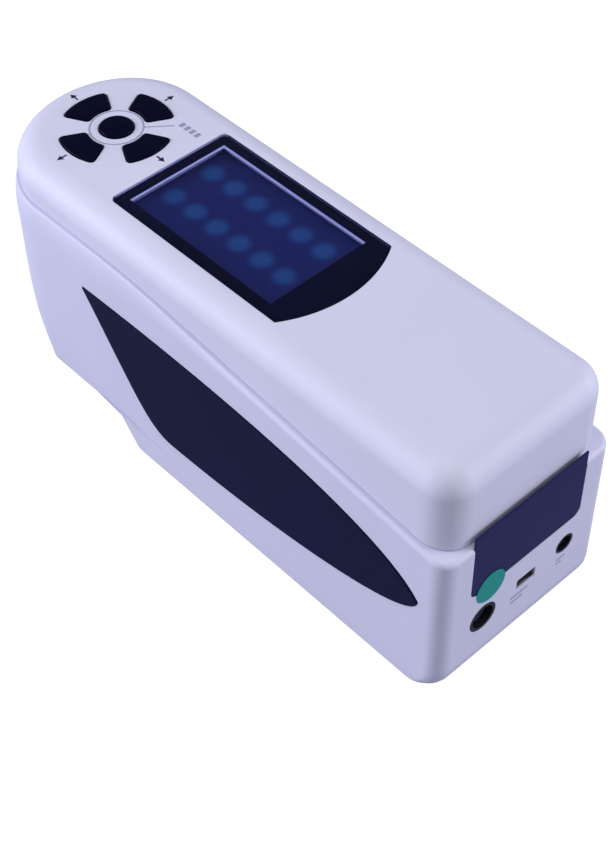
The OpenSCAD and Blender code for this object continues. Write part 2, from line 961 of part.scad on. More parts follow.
module lens_barrel() {
  color([0.10, 0.10, 0.12])
    sight()
      difference() {
        translate([0, 0, barrel_low])
          cylinder(h = barrel_high - barrel_low, r = barrel_r);
        translate([0, 0, barrel_low - cut])
          cylinder(h = lens_low - barrel_low + cut, r = barrel_bore - 1);
        translate([0, 0, lens_low])
          cylinder(h = barrel_high - lens_low + cut, r = barrel_bore);
      }
}

module lens() {
  color([0.75, 0.85, 0.90, 0.6])
    sight()
      translate([0, 0, lens_low])
        cylinder(h = lens_t, r = barrel_bore - fit / 2);
}

sensor_size = 16;
module sensor_board() {
  color(board_colour)
    sight()
      translate([-sensor_size / 2, -sensor_size / 2, barrel_high])
        cube([sensor_size, sensor_size, board_t]);
}

module light_sensor() {
  size = 5;
  color([0.08, 0.08, 0.10])
    sight()
      translate([-size / 2, -size / 2, barrel_high - board_t])
        cube([size, size, board_t]);
}

module lamp_board() {
  color(board_colour)
    difference() {
      translate([port_x, 0, lamp_board_z])
        cylinder(h = board_t, r = lamp_board_r);
      sight()
        translate([0, 0, sphere_z])
          cylinder(h = far, r = barrel_r + 2);
    }
}

module lamps() {
  base = 2;
  color([0.95, 0.95, 0.80])
    translate([port_x, 0, 0])
      for (a = lamp_angles)
        rotate([0, 0, a])
          translate([lamp_ring_r, 0, lamp_board_z - base]) {
            cylinder(h = base, r = lamp_r);
            sphere(lamp_r);
          }
}

module main_board() {
  color(board_colour)
    difference() {
      block(
        [main_board_x[0], -main_board_y, main_board_z],
        [main_board_x[1], main_board_y, main_board_z + board_t]
      );
      on_both_sides(main_post)
        translate([0, 0, main_board_z - cut])
          cylinder(h = board_t + 2 * cut, r = small_r + screw_gap);
    }
}

// Chips on the main board, each as [distance from its front, y, length, width, height].
chips = [[26, -6, 14, 14, 1.4], [50, 2, 10, 10, 1.2], [70, -8, 8, 5, 1.4], [16, 10, 6, 5, 1.8]];
module board_chips() {
  color([0.10, 0.10, 0.11])
    for (c = chips)
      translate([main_board_x[0] + c[0] - c[2] / 2, c[1] - c[3] / 2, main_board_z + board_t])
        cube([c[2], c[3], c[4]]);
}

// The buzzer: its distance from the board's tail end and far edge, its can and its sound hole.
buzzer_from_tail = 28.3;
buzzer_from_far = 11.8;
buzzer_r = 6;
buzzer_h = 5;
sound_hole_r = 1.2;
sound_hole_depth = 2;
module buzzer() {
  color([0.08, 0.08, 0.09])
    translate([
      main_board_x[1] - buzzer_from_tail,
      main_board_y - buzzer_from_far,
      main_board_z + board_t
    ])
      difference() {
        cylinder(h = buzzer_h, r = buzzer_r);
        translate([0, 0, buzzer_h - sound_hole_depth])
          cylinder(h = sound_hole_depth + cut, r = sound_hole_r);
      }
}

// A ribbon that folds out from the main board and back in under the display board.
cable_t = 0.4;
cable_w = 16;
cable_root = 5;
cable_fold = 7;
cable_tip = 2;
cable_x = [main_board_x[0] + cable_root, main_board_x[0] - cable_fold, main_board_x[0] + cable_tip];
module flat_cable() {
  z0 = main_board_z + board_t;
  z1 = display_board_z;
  color([0.80, 0.78, 0.70])
    translate([0, cable_w / 2, 0])
      rotate([90, 0, 0])
        linear_extrude(cable_w)
          polygon([
            [cable_x[0], z0],
            [cable_x[1], z0],
            [cable_x[1], z1],
            [cable_x[2], z1],
            [cable_x[2], z1 - cable_t],
            [cable_x[1] + cable_t, z1 - cable_t],
            [cable_x[1] + cable_t, z0 + cable_t],
            [cable_x[0], z0 + cable_t]
          ]);
}

// A small screw with its head below, going up.
module small_screw_up(z, through) {
  translate([0, 0, z - 1.4])
    cylinder(h = 1.4, r = 1.8);
  translate([0, 0, z - cut])
    cylinder(h = through + 2 + cut, r = small_r);
}

module board_screws() {
  color(metal_colour) {
    display_post_places()
      small_screw_up(display_board_z, board_t);
    key_post_places()
      small_screw_up(key_board_z, board_t);
    on_both_sides(main_post) {
      translate([0, 0, main_board_z + board_t])
        cylinder(h = 1.4, r = 1.8);
      translate([0, 0, main_board_z - small_l])
        cylinder(h = small_l + board_t + cut, r = small_r);
    }
  }
}

module cell(side) {
  nub = 1;
  bar_x(cell_x, cell_x + cell_l - nub, side * cell_y, cell_z, cell_r);
  bar_x(cell_x + cut, cell_x + cell_l, side * cell_y, cell_z, 3);
}

module near_cell() {
  color([0.25, 0.45, 0.70])
    cell(-1);
}

module far_cell() {
  color([0.25, 0.45, 0.70])
    cell(1);
}

module cell_holder() {
  color([0.16, 0.16, 0.18])
    difference() {
      block([holder_x[0], -holder_y, floor_z], [holder_x[1], holder_y, holder_top]);
      block(
        [holder_x[0] + holder_wall, -bay_y, floor_z - cut],
        [holder_x[1] - holder_wall, bay_y, cell_z]
      );
      for (side = [-1, 1])
        bar_x(holder_x[0] + holder_wall, holder_x[1] - holder_wall, side * cell_y, cell_z, cell_r + fit);
    }
}

module cell_contacts() {
  size = 5;
  x0 = holder_x[0] + holder_wall + fit;
  x1 = holder_x[1] - holder_wall - fit;
  color(metal_colour)
    for (side = [-1, 1]) {
      block([x0, side * cell_y - size, cell_z - size], [x0 + contact_t, side * cell_y + size, cell_z + size]);
      block([x1 - contact_t, side * cell_y - size, cell_z - size], [x1, side * cell_y + size, cell_z + size]);
      bar_x(x0, cell_x, side * cell_y, cell_z, 2.5);
      bar_x(cell_x + cell_l, x1, side * cell_y, cell_z, 2.5);
    }
}

// The battery door, grown all round for the pocket that it lies in.
module door_shape(grow, low, high) {
  block([door_x[0] - grow, -door_y - grow, low], [door_x[1] + grow, door_y + grow, high]);
}

module battery_door() {
  notch = 6;
  color(shell_colour)
    difference() {
      door_shape(0, foot_h, foot_h + door_t);
      translate([door_screw_x, 0, 0])
        cylinder(h = far, r = small_r + screw_gap);
      for (side = [-1, 1])
        translate([door_x[0], side * 8 - notch / 2, foot_h - cut])
          cube([1.5, notch, cut + 0.6]);
    }
}

module door_screw() {
  head = 0.7;
  color(metal_colour)
    translate([door_screw_x, 0, 0]) {
      translate([0, 0, foot_h - head])
        cylinder(h = head, r = 2);
      translate([0, 0, foot_h - head])
        cylinder(h = head + floor_z + 1.5 - foot_h, r = small_r);
    }
}

module tail_plate() {
  color([0.14, 0.15, 0.32])
    block(
      [x_tail - plate_depth, -plate_w / 2 + fit, plate_z + fit],
      [x_tail, plate_w / 2 - fit, plate_top - fit]
    );
}

module status_sticker() {
  color([0.08, 0.49, 0.45])
    bar_x(x_tail, x_tail + sticker_t, sticker_at[0], sticker_at[1], sticker_r);
}

module power_switch() {
  back = rocker_x - rocker_r - 1.5;
  color([0.08, 0.08, 0.10])
    difference() {
      union() {
        bar_x(back, x_tail, switch_y, switch_z, switch_body_r);
        bar_x(x_tail - bezel_t, x_tail, switch_y, switch_z, switch_r);
      }
      bar_x(rocker_x - rocker_r - 0.4, x_tail + cut, switch_y, switch_z, rocker_r + rocker_gap);
      translate([rocker_x, switch_y, switch_z - switch_body_r - cut])
        cylinder(h = 2 * switch_body_r + 2 * cut, r = pin_r);
    }
}

// A ball cut to a shallow V, set over to its off side.
module power_rocker() {
  dip = 1.6;                             // how far the V's fold lies in from the ball's surface
  color([0.05, 0.05, 0.07])
    translate([rocker_x, switch_y, switch_z])
      rotate([0, 0, rocker_tilt])
        difference() {
          sphere(rocker_r, $fn = 64);
          for (side = [-1, 1])
            translate([rocker_r - dip, 0, 0])
              rotate([0, 0, -side * rocker_tilt])
                translate([0, side > 0 ? 0 : -2 * rocker_r, -2 * rocker_r])
                  cube([4 * rocker_r, 2 * rocker_r, 4 * rocker_r]);
          translate([0, 0, -2 * rocker_r])
            cylinder(h = 4 * rocker_r, r = pin_r + pin_gap);
        }
}

module rocker_pin() {
  color(metal_colour)
    translate([rocker_x, switch_y, switch_z - switch_body_r + 0.2])
      cylinder(h = 2 * switch_body_r - 0.4, r = pin_r);
}

module usb_block(x0, x1, grow) {
  block(
    [x0, usb_y - usb_w / 2 - grow, usb_z - usb_h / 2 - grow],
    [x1, usb_y + usb_w / 2 + grow, usb_z + usb_h / 2 + grow]
  );
}

module usb_socket() {
  skin_t = 0.4;
  depth = 6;
  x1 = x_tail - 0.3;
  color(metal_colour) {
    difference() {
      usb_block(socket_board_x + board_t, x1, 0);
      usb_block(x1 - depth, x1 + cut, -skin_t);
    }
    block([x1 - depth - cut, usb_y - 1.9, usb_z - 0.4], [x1 - 1, usb_y + 1.9, usb_z + 0.4]);
  }
}

module charging_socket() {
  depth = 9;
  x1 = x_tail - 0.1;
  color([0.07, 0.07, 0.08]) {
    difference() {
      bar_x(socket_board_x + board_t, x1, jack_y, jack_z, jack_out);
      bar_x(x1 - depth, x1 + cut, jack_y, jack_z, jack_r);
    }
    bar_x(x1 - depth - cut, x1 - 1, jack_y, jack_z, 1);
  }
}

module socket_board() {
  color(board_colour)
    block(
      [socket_board_x, socket_board_y[0], socket_board_z[0]],
      [socket_board_x + board_t, socket_board_y[1], socket_board_z[1]]
    );
}

module feet() {
  color([0.20, 0.20, 0.24])
    on_both_sides(foot_places)
      cylinder(h = foot_h + foot_recess, r = foot_r);
}

module case_screws() {
  color(metal_colour)
    for (x = case_xs)
      case_places(x) {
        translate([0, 0, column_top(x) - seat_t - head_h])
          cylinder(h = head_h, r = head_r);
        translate([0, 0, column_top(x) - seat_t - cut])
          cylinder(h = seat_t + case_grip + cut, r = screw_r);
      }
}

top_cover();
lower_housing();
parting_seal();
near_grip();
far_grip();
display_window();
window_mask();
display_frame();
display_panel();
display_board();
nose_key();
tail_key();
near_key();
far_key();
middle_key();
key_mat();
key_switches();
key_board();
sphere_base();
sphere_cap();
sphere_screws();
port_collar();
aperture_ring();
lens_barrel();
lens();
sensor_board();
light_sensor();
lamp_board();
lamps();
main_board();
board_chips();
buzzer();
flat_cable();
board_screws();
near_cell();
far_cell();
cell_holder();
cell_contacts();
battery_door();
door_screw();
tail_plate();
status_sticker();
power_switch();
power_rocker();
rocker_pin();
usb_socket();
charging_socket();
socket_board();
feet();
case_screws();
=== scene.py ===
import math

import bmesh
import bpy
from mathutils import Matrix, Vector


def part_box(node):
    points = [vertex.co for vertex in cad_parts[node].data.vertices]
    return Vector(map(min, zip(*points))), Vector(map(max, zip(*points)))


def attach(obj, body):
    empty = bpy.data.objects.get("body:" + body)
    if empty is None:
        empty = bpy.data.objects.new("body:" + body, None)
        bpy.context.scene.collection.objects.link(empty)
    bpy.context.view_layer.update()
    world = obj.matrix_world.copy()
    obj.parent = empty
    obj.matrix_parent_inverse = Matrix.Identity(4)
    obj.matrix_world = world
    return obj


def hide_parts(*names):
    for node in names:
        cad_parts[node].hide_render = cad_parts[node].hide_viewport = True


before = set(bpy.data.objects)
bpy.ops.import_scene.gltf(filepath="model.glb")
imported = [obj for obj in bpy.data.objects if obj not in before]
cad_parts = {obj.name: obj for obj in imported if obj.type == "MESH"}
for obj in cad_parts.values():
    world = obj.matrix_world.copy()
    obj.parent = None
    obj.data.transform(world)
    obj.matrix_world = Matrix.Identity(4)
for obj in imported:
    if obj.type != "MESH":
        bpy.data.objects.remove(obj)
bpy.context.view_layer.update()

MM = 0.001
BODY = "case"


# Camera, fitted to the photograph's perspective. Millimetres and degrees.
CAMERA_AT = (275.45, -239.85, 413.74)
CAMERA_AZIMUTH = 47.524
CAMERA_ELEVATION = 47.730
CAMERA_ROLL = -0.861
CAMERA_LENS = 71.63
CAMERA_CLIP = 0.01  # metres


def add_camera():
    """A camera at the photograph's place, looking the photograph's way."""
    a, e, r = (math.radians(v) for v in (CAMERA_AZIMUTH, CAMERA_ELEVATION, CAMERA_ROLL))
    back = Vector((math.sin(a) * math.cos(e), -math.cos(a) * math.cos(e), math.sin(e)))
    right = Vector((math.cos(a), math.sin(a), 0))
    up = back.cross(right)
    tilted_right = math.cos(r) * right + math.sin(r) * up
    tilted_up = math.cos(r) * up - math.sin(r) * right
    turn = Matrix((tilted_right, tilted_up, back)).transposed().to_4x4()
    data = bpy.data.cameras.new("camera")
    data.lens = CAMERA_LENS
    data.clip_start = CAMERA_CLIP
    camera = bpy.data.objects.new("camera", data)
    camera.matrix_world = Matrix.Translation(Vector(CAMERA_AT) * MM) @ turn
    bpy.context.collection.objects.link(camera)
    bpy.context.scene.camera = camera


def box_mm(node):
    """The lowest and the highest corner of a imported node, in millimetres."""
    low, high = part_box(node)
    return Vector(low) / MM, Vector(high) / MM


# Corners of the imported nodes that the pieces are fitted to.
housing_low, housing_high = box_mm("lower_housing")
cover_low, cover_high = box_mm("top_cover")
window_low, window_high = box_mm("display_window")
panel_low, panel_high = box_mm("display_panel")
mask_low, mask_high = box_mm("window_mask")
plate_low, plate_high = box_mm("tail_plate")
middle_low, middle_high = box_mm("middle_key")
nose_key_low, nose_key_high = box_mm("nose_key")
switch_low, switch_high = box_mm("power_switch")
collar_low, collar_high = box_mm("port_collar")
door_low, door_high = box_mm("battery_door")
GRIP_OUT = -box_mm("near_grip")[0].y
usb_low, usb_high = box_mm("usb_socket")
jack_low, jack_high = box_mm("charging_socket")

X_NOSE = housing_low.x
X_TAIL = housing_high.x
HALF_W = housing_high.y
FOOT_H = housing_low.z
TOP_Z = cover_high.z
LEDGE = HALF_W - cover_high.y  # the cover stands this far inside the housing
SEAL_H = 0.5
PARTING_NOSE_Z = housing_high.z
PARTING_TAIL_Z = cover_low.z - SEAL_H
WALL = 2.4
FIT = 0.1  # gap round a piece that lies in a recess

# Form of the shells, as in the part's own construction.
NOSE_A = 31.0  # half axis of the nose's ellipse, seen from above
NOSE_X = X_NOSE + NOSE_A
BEND_X = X_NOSE + 62.0  # where the parting line starts to fall
BEND_L = 30.0
CORNER_R = 5.5
COVER_CORNER_R = 10.0 + LEDGE
CROWN_R = 8.5  # rounding between the cover's top and its sides
NOSE_FLOOR_Z = 12.7
CHIN_POWER = 8.5  # how late the nose turns in below
CHIN_H = PARTING_NOSE_Z - NOSE_FLOOR_Z
STEP_X = X_NOSE + 71.0  # foot of the step behind the raised nose
STEP_RUN = 9.0
STEP_CORNER_R = 4.0
STEP_BOW = 0.6
STEP_TOP = NOSE_FLOOR_Z - 0.3
TAIL_R = 12.0  # rounding between the tail and the base
BASE_R = 2.5
LEAST_R = 0.8

# Height of the housing's shoulder below the parting line, at places along X.
SHOULDER = ((BEND_X + 9, 8.0), (BEND_X + 28, 5.0), (BEND_X + 46, 3.0), (BEND_X + 64, 1.4))

# Points of an outline: on the nose, on each tail corner and along each side.
NOSE_N = 72
TAIL_N = 10
STATION_FIRST = 90.0
STATION_GAP = 5.0
STATION_COUNT = 32
STATIONS = [STATION_FIRST - STATION_GAP * i for i in range(STATION_COUNT)]
TURN_N = NOSE_N // 3


def parting_z(x):
    """Height of the parting line: level at the nose, bending down to the tail."""
    slope = (PARTING_NOSE_Z - PARTING_TAIL_Z) / (X_TAIL - BEND_X - BEND_L / 2)
    if x < BEND_X:
        return PARTING_NOSE_Z
    if x < BEND_X + BEND_L:
        return PARTING_NOSE_Z - slope * (x - BEND_X) ** 2 / (2 * BEND_L)
    return PARTING_NOSE_Z - slope * (x - BEND_X - BEND_L / 2)


def shoulder_h(x):
    """How far the rounded shoulder reaches below the parting line."""
    if x <= SHOULDER[0][0]:
        return SHOULDER[0][1]
    for (x0, h0), (x1, h1) in zip(SHOULDER, SHOULDER[1:]):
        if x < x1:
            t = (x - x0) / (x1 - x0)
            return h0 + (h1 - h0) * t
    return SHOULDER[-1][1]


def round_in(r, d):
    """How far a rounding of radius r lies inside its face, at distance d from its end."""
    return r - math.sqrt(max(0.0, r * r - (r - d) ** 2)) if d < r else 0.0


def step_front(z):
    """X of the leaning face behind the raised nose."""
    share = min(1.0, max(0.0, (z - FOOT_H) / (STEP_TOP - FOOT_H)))
    return STEP_X - STEP_RUN * share


def tail_at(z, inset):
    """X of the tail face, which rounds under into the base."""
    if z >= FOOT_H + TAIL_R:
        return X_TAIL - inset
    rise = FOOT_H + TAIL_R - z
    return X_TAIL - TAIL_R + math.sqrt(max(0.0, (TAIL_R - inset) ** 2 - rise * rise))


def nose_at(z, inset):
    """Half axis of the nose at a height: full above, turning in towards the chin."""
    share = (PARTING_NOSE_Z - z) / (CHIN_H - min(inset, WALL))
    return (NOSE_A - inset) * (1 - min(1.0, max(0.0, share)) ** CHIN_POWER)


def tail_corner(side, z, inset, back, r0):
    """Points of one vertical corner at the tail, on the far side (1) or the near side (-1)."""
    r = max(r0 - inset, LEAST_R)
    x = tail_at(z, back) - r
    y = HALF_W - inset - r
    points = []
    for i in range(TAIL_N + 1):
        a = math.pi / 2 * (i if side > 0 else TAIL_N - i) / TAIL_N
        points.append((x + r * math.cos(a), side * (y + r * math.sin(a)), z))
    return points


def nose_ring(z, inset, nose_in=0.0, r0=CORNER_R):
    """An outline of the upper body, with the round nose."""
    wide = HALF_W - inset

    def side_y(x):
        return wide - (nose_in if x < STEP_X else 0.0)

    length = nose_at(z, inset + nose_in)
    points = tail_corner(1, z, inset, inset, r0)
    points += [(x, side_y(x), z) for x in STATIONS]
    for i in range(NOSE_N + 1):
        t = math.pi / 2 - math.pi * i / NOSE_N
        points.append((NOSE_X - length * math.cos(t), (wide - nose_in) * math.sin(t), z))
    points += [(x, -side_y(x), z) for x in reversed(STATIONS)]
    return points + tail_corner(-1, z, inset, inset, r0)


def step_ring(z, inset, back):
    """An outline below the step behind the nose."""
    b = HALF_W - inset
    r = STEP_CORNER_R
    x0 = step_front(z) + back
    x1 = tail_at(z, back) - max(CORNER_R - inset, LEAST_R)
    n = len(STATIONS)
    along = [x1 + (x0 + r - x1) * (i + 1) / (n + 1) for i in range(n)]
    points = tail_corner(1, z, inset, back, CORNER_R)
    points += [(x, b, z) for x in along]
    span = NOSE_N - 2 * TURN_N
    for i in range(NOSE_N + 1):
        if TURN_N < i < NOSE_N - TURN_N:
            v = 1 - 2 * (i - TURN_N) / span
            points.append((x0 - STEP_BOW * (1 - v * v), (b - r) * v, z))
        else:
            side = 1 if i < NOSE_N / 2 else -1
            a = math.pi / 2 * min(min(i, NOSE_N - i), TURN_N) / TURN_N
            points.append((x0 + r - r * math.sin(a), side * (b - r + r * math.cos(a)), z))
    points += [(x, -b, z) for x in reversed(along)]
    return points + tail_corner(-1, z, inset, back, CORNER_R)


def parting_ring(inset, drop, share=0.0, r0=CORNER_R):
    """An outline that follows the parting line."""
    return [
        (x, y, parting_z(x) - drop - share * shoulder_h(x))
        for x, y, _ in nose_ring(TOP_Z, inset, 0.0, r0)
    ]


def arc(steps, start=0.0, end=90.0):
    """Angles in radians, evenly spaced from start to end in degrees."""
    return [math.radians(start + (end - start) * i / steps) for i in range(steps + 1)]


# Mesh helpers. Points are millimetres and the meshes are metres.
def link(name, mesh):
    """Put a new piece with this mesh into the scene."""
    piece = bpy.data.objects.new(name, mesh)
    bpy.context.collection.objects.link(piece)
    return piece


def mesh_from(name, build):
    """A new piece, whose faces a function draws into a bmesh."""
    bm = bmesh.new()
    build(bm)
    bmesh.ops.recalc_face_normals(bm, faces=bm.faces)
    mesh = bpy.data.meshes.new(name)
    bm.to_mesh(mesh)
    bm.free()
    return link(name, mesh)


def loft(name, rings, place=Matrix()):
    """A closed skin over a stack of outlines with the same count of points."""
    def build(bm):
        rows = [[bm.verts.new(place @ (Vector(p) * MM)) for p in ring] for ring in rings]
        n = len(rows[0])
        for low, high in zip(rows, rows[1:]):
            for i in range(n):
                k = (i + 1) % n
                bm.faces.new((low[i], low[k], high[k], high[i]))
        bm.faces.new(list(reversed(rows[0])))
        bm.faces.new(rows[-1])

    return mesh_from(name, build)


SHARP_ANGLE = 35.0  # degrees between faces, from which an edge is drawn sharp
FAN_TURN = 0.3  # radians, from which a grown outline gets a round corner
LEAST_OPEN = 0.3  # keeps a very sharp corner from running out too far
DOME_SHARES = (0.25, 0.5, 0.75)  # rings of a domed top, from its edge to its middle
FAN_STEPS = 5
EDGE_STEPS = 4
CORNER_STEPS = 6
CIRCLE_STEPS = 64
WIDE_STEPS = 96
SMALL_STEPS = 40


def smooth(piece):
    """Soft shading across shallow angles, with wide faces kept flat."""
    mesh = piece.data
    for face in mesh.polygons:
        face.use_smooth = True
    mesh.set_sharp_from_angle(angle=math.radians(SHARP_ANGLE))
    weigh = piece.modifiers.new("weigh", "WEIGHTED_NORMAL")
    weigh.keep_sharp = True
    return settle(piece)


def settle(piece):
    """Bake a piece's modifiers into its mesh."""
    depsgraph = bpy.context.evaluated_depsgraph_get()
    mesh = bpy.data.meshes.new_from_object(piece.evaluated_get(depsgraph))
    piece.modifiers.clear()
    piece.data = mesh
    return piece


def carve(piece, cutters):
    """Cut shapes out of a piece, and remove the cutting shapes."""
    for cutter in cutters:
        cut = piece.modifiers.new("cut", "BOOLEAN")
        cut.operation = "DIFFERENCE"
        cut.solver = "EXACT"
        cut.object = cutter
    settle(piece)
    for cutter in cutters:
        bpy.data.objects.remove(cutter)
    return piece


def edge_normals(outline):
    """The outward normal of each edge of an anticlockwise outline."""
    normals = []
    for (x0, y0), (x1, y1) in zip(outline, outline[1:] + outline[:1]):
        length = math.hypot(x1 - x0, y1 - y0)
        normals.append(((y1 - y0) / length, (x0 - x1) / length))
    return normals


def shifted(outline, d):
    """The outline moved outward by d, or inward where d is negative."""
    normals = edge_normals(outline)
    points = []
    for i, (x, y) in enumerate(outline):
        (ax, ay), (bx, by) = normals[i - 1], normals[i]
        mx, my = ax + bx, ay + by
        scale = d / max(LEAST_OPEN, 1 + ax * bx + ay * by)
        points.append((x + mx * scale, y + my * scale))
    return points


def grown(outline, r, fan=FAN_STEPS):
    """The outline moved outward by r, with its sharp corners rounded."""
    normals = edge_normals(outline)
    points = []
    for i, (x, y) in enumerate(outline):
        (ax, ay), (bx, by) = normals[i - 1], normals[i]
        start = math.atan2(ay, ax)
        turn = math.atan2(ax * by - ay * bx, ax * bx + ay * by)
        if turn > FAN_TURN:
            angles = [start + turn * k / fan for k in range(fan + 1)]
        else:
            angles = [start + turn / 2]
        points += [(x + r * math.cos(a), y + r * math.sin(a)) for a in angles]
    return points


def slab(name, outline, low, high, edge, place=Matrix(), steps=EDGE_STEPS, dome=0.0):
    """A plate with an outline, a rounded upper edge and, if asked, a slightly domed top."""
    rings = [[(x, y, low) for x, y in outline], [(x, y, high - edge - dome) for x, y in outline]]
    for a in arc(steps)[1:]:
        inner = shifted(outline, -edge * (1 - math.cos(a)))
        z = high - dome - edge * (1 - math.sin(a))
        rings.append([(x, y, z) for x, y in inner])
    if dome:
        cx = sum(x for x, _ in outline) / len(outline)
        cy = sum(y for _, y in outline) / len(outline)
        last = rings[-1]
        for share in DOME_SHARES:
            z = high - dome * (1 - share) ** 2
            rings.append([(x + (cx - x) * share, y + (cy - y) * share, z) for x, y, _ in last])
    return loft(name, rings, place)


def circle(r, centre, n=CIRCLE_STEPS):
    """An anticlockwise circle."""
    return [
        (centre[0] + r * math.cos(2 * math.pi * i / n), centre[1] + r * math.sin(2 * math.pi * i / n))
        for i in range(n)
    ]


def rectangle(x0, y0, x1, y1, r=0.0):
    """A rectangle, with round corners where a radius is given."""
    inner = [(x0 + r, y0 + r), (x1 - r, y0 + r), (x1 - r, y1 - r), (x0 + r, y1 - r)]
    return grown(inner, r, CORNER_STEPS) if r else inner


# Planes that slabs lie in, other than the top: x and y of an outline, and its height.
NEAR_SIDE = Matrix(((1, 0, 0, 0), (0, 0, -1, 0), (0, 1, 0, 0), (0, 0, 0, 1)))
FAR_SIDE = Matrix(((-1, 0, 0, 0), (0, 0, 1, 0), (0, 1, 0, 0), (0, 0, 0, 1)))
TAIL_SIDE = Matrix(((0, 0, 1, 0), (1, 0, 0, 0), (0, 1, 0, 0), (0, 0, 0, 1)))


def colour(text):
    """An sRGB hex colour as linear values."""
    parts = [int(text[i:i + 2], 16) / 255 for i in (1, 3, 5)]
    linear = [v / 12.92 if v <= 0.04045 else ((v + 0.055) / 1.055) ** 2.4 for v in parts]
    return (*linear, 1.0)


def add(tree, kind, settings=None, links=None, stops=()):
    """Add a node, with its own settings, its inputs' values, the links into it and a ramp's stops."""
    node = tree.nodes.new(kind)
    for key, value in (settings or {}).items():
        if isinstance(key, str) and hasattr(node, key):
            setattr(node, key, value)
        else:
            node.inputs[key].default_value = value
    for key, source in (links or {}).items():
        tree.links.new(source, node.inputs[key])
    for i, (position, text) in enumerate(stops):
        node.color_ramp.elements[i].position = position
        node.color_ramp.elements[i].color = colour(text)
    return node


def start_material(name):
    """A new empty material, its node tree and the place on the piece."""
    material = bpy.data.materials.new(name)
    material.use_nodes = True
    tree = material.node_tree
    tree.nodes.clear()
    place = add(tree, "ShaderNodeTexCoord").outputs["Object"]
    return material, tree, place


def finish_material(material, tree, shader):
    """Show a shader as the surface of the material."""
    add(tree, "ShaderNodeOutputMaterial", {}, {"Surface": shader.outputs[0]})
    return material


NOISE = (0.3, 0.7)  # the range that nearly all of a noise lies in
SHADE_MM = 60.0  # a moulded colour drifts over about this distance
GRAIN_BUMP = 0.25
GRAIN_POLISH = (0.9, 1.15)  # how far the grain spreads the roughness
COAT_ROUGHNESS = 0.12

# The grain of a mould is 0.05 to 0.1 mm wide and too fine to show, so it is drawn at 0.25 mm and more.
GRAIN_MM = 0.35
RELIEF_MM = 0.02


def moulded_plastic(
    name, dark, light, roughness, grain_mm=GRAIN_MM, relief_mm=RELIEF_MM, gloss=0.5, coat=0.0
):
    """Moulded plastic: an even colour that drifts a little, under a very fine grain."""
    material, tree, place = start_material(name)
    drift = add(tree, "ShaderNodeTexNoise", {"Scale": 1 / (SHADE_MM * MM), "Detail": 2.0}, {"Vector": place})
    base = add(tree, "ShaderNodeValToRGB", {}, {"Fac": drift.outputs["Fac"]}, zip(NOISE, (dark, light)))
    grain = add(tree, "ShaderNodeTexNoise", {"Scale": 1 / (grain_mm * MM), "Detail": 3.0}, {"Vector": place})
    smoothest, roughest = (roughness * share for share in GRAIN_POLISH)
    polish = add(
        tree, "ShaderNodeMapRange",
        {"From Min": NOISE[0], "From Max": NOISE[1], "To Min": smoothest, "To Max": roughest},
        {"Value": grain.outputs["Fac"]},
    )
    bump = add(
        tree, "ShaderNodeBump", {"Strength": GRAIN_BUMP, "Distance": relief_mm * MM},
        {"Height": grain.outputs["Fac"]},
    )
    shader = add(
        tree, "ShaderNodeBsdfPrincipled",
        {"Specular IOR Level": gloss, "Coat Weight": coat, "Coat Roughness": COAT_ROUGHNESS},
        {
            "Base Color": base.outputs["Color"], "Roughness": polish.outputs["Result"],
            "Normal": bump.outputs["Normal"],
        },
    )
    return finish_material(material, tree, shader)


# Length, width and depth of a streak in drawn metal. Real ones are finer: these just show.
STREAK_MM = (8.0, 0.15, 0.15)
STREAK_POLISH = (0.7, 1.3)  # how far the streaks spread the roughness


def metal(name, dark, light, roughness):
    """Drawn or plated metal, with fine streaks along X."""
    material, tree, place = start_material(name)
    stretch = add(
        tree, "ShaderNodeMapping", {"Scale": [1 / (v * MM) for v in STREAK_MM]}, {"Vector": place}
    )
    streaks = add(tree, "ShaderNodeTexNoise", {"Scale": 1.0, "Detail": 2.0}, {"Vector": stretch.outputs[0]})
    base = add(tree, "ShaderNodeValToRGB", {}, {"Fac": streaks.outputs["Fac"]}, zip(NOISE, (dark, light)))
    smoothest, roughest = (roughness * share for share in STREAK_POLISH)
    polish = add(
        tree, "ShaderNodeMapRange", {"To Min": smoothest, "To Max": roughest},
        {"Value": streaks.outputs["Fac"]},
    )
    shader = add(
        tree, "ShaderNodeBsdfPrincipled", {"Metallic": 1.0},
        {"Base Color": base.outputs["Color"], "Roughness": polish.outputs["Result"]},
    )
    return finish_material(material, tree, shader)


RIPPLE_MM = 20.0
RIPPLE_DEPTH_MM = 0.02
RIPPLE_BUMP = 0.05


def clear_sheet(name, tint, roughness, ior, gloss=0.5):
    """Clear acrylic or glass with the faintest ripple. It lets the lamps' light through."""
    material, tree, place = start_material(name)
    ripple = add(
        tree, "ShaderNodeTexNoise", {"Scale": 1 / (RIPPLE_MM * MM), "Detail": 1.0}, {"Vector": place}
    )
    bump = add(
        tree, "ShaderNodeBump", {"Strength": RIPPLE_BUMP, "Distance": RIPPLE_DEPTH_MM * MM},
        {"Height": ripple.outputs["Fac"]},
    )
    sheet = add(
        tree, "ShaderNodeBsdfPrincipled",
        {
            "Base Color": colour(tint), "Roughness": roughness, "IOR": ior,
            "Transmission Weight": 1.0, "Specular IOR Level": gloss,
        },
        {"Normal": bump.outputs["Normal"]},
    )
    through = add(tree, "ShaderNodeBsdfTransparent", {"Color": colour(tint)})
    shadow = add(tree, "ShaderNodeLightPath").outputs["Is Shadow Ray"]
    shader = add(tree, "ShaderNodeMixShader", {}, {0: shadow, 1: sheet.outputs[0], 2: through.outputs[0]})
    return finish_material(material, tree, shader)


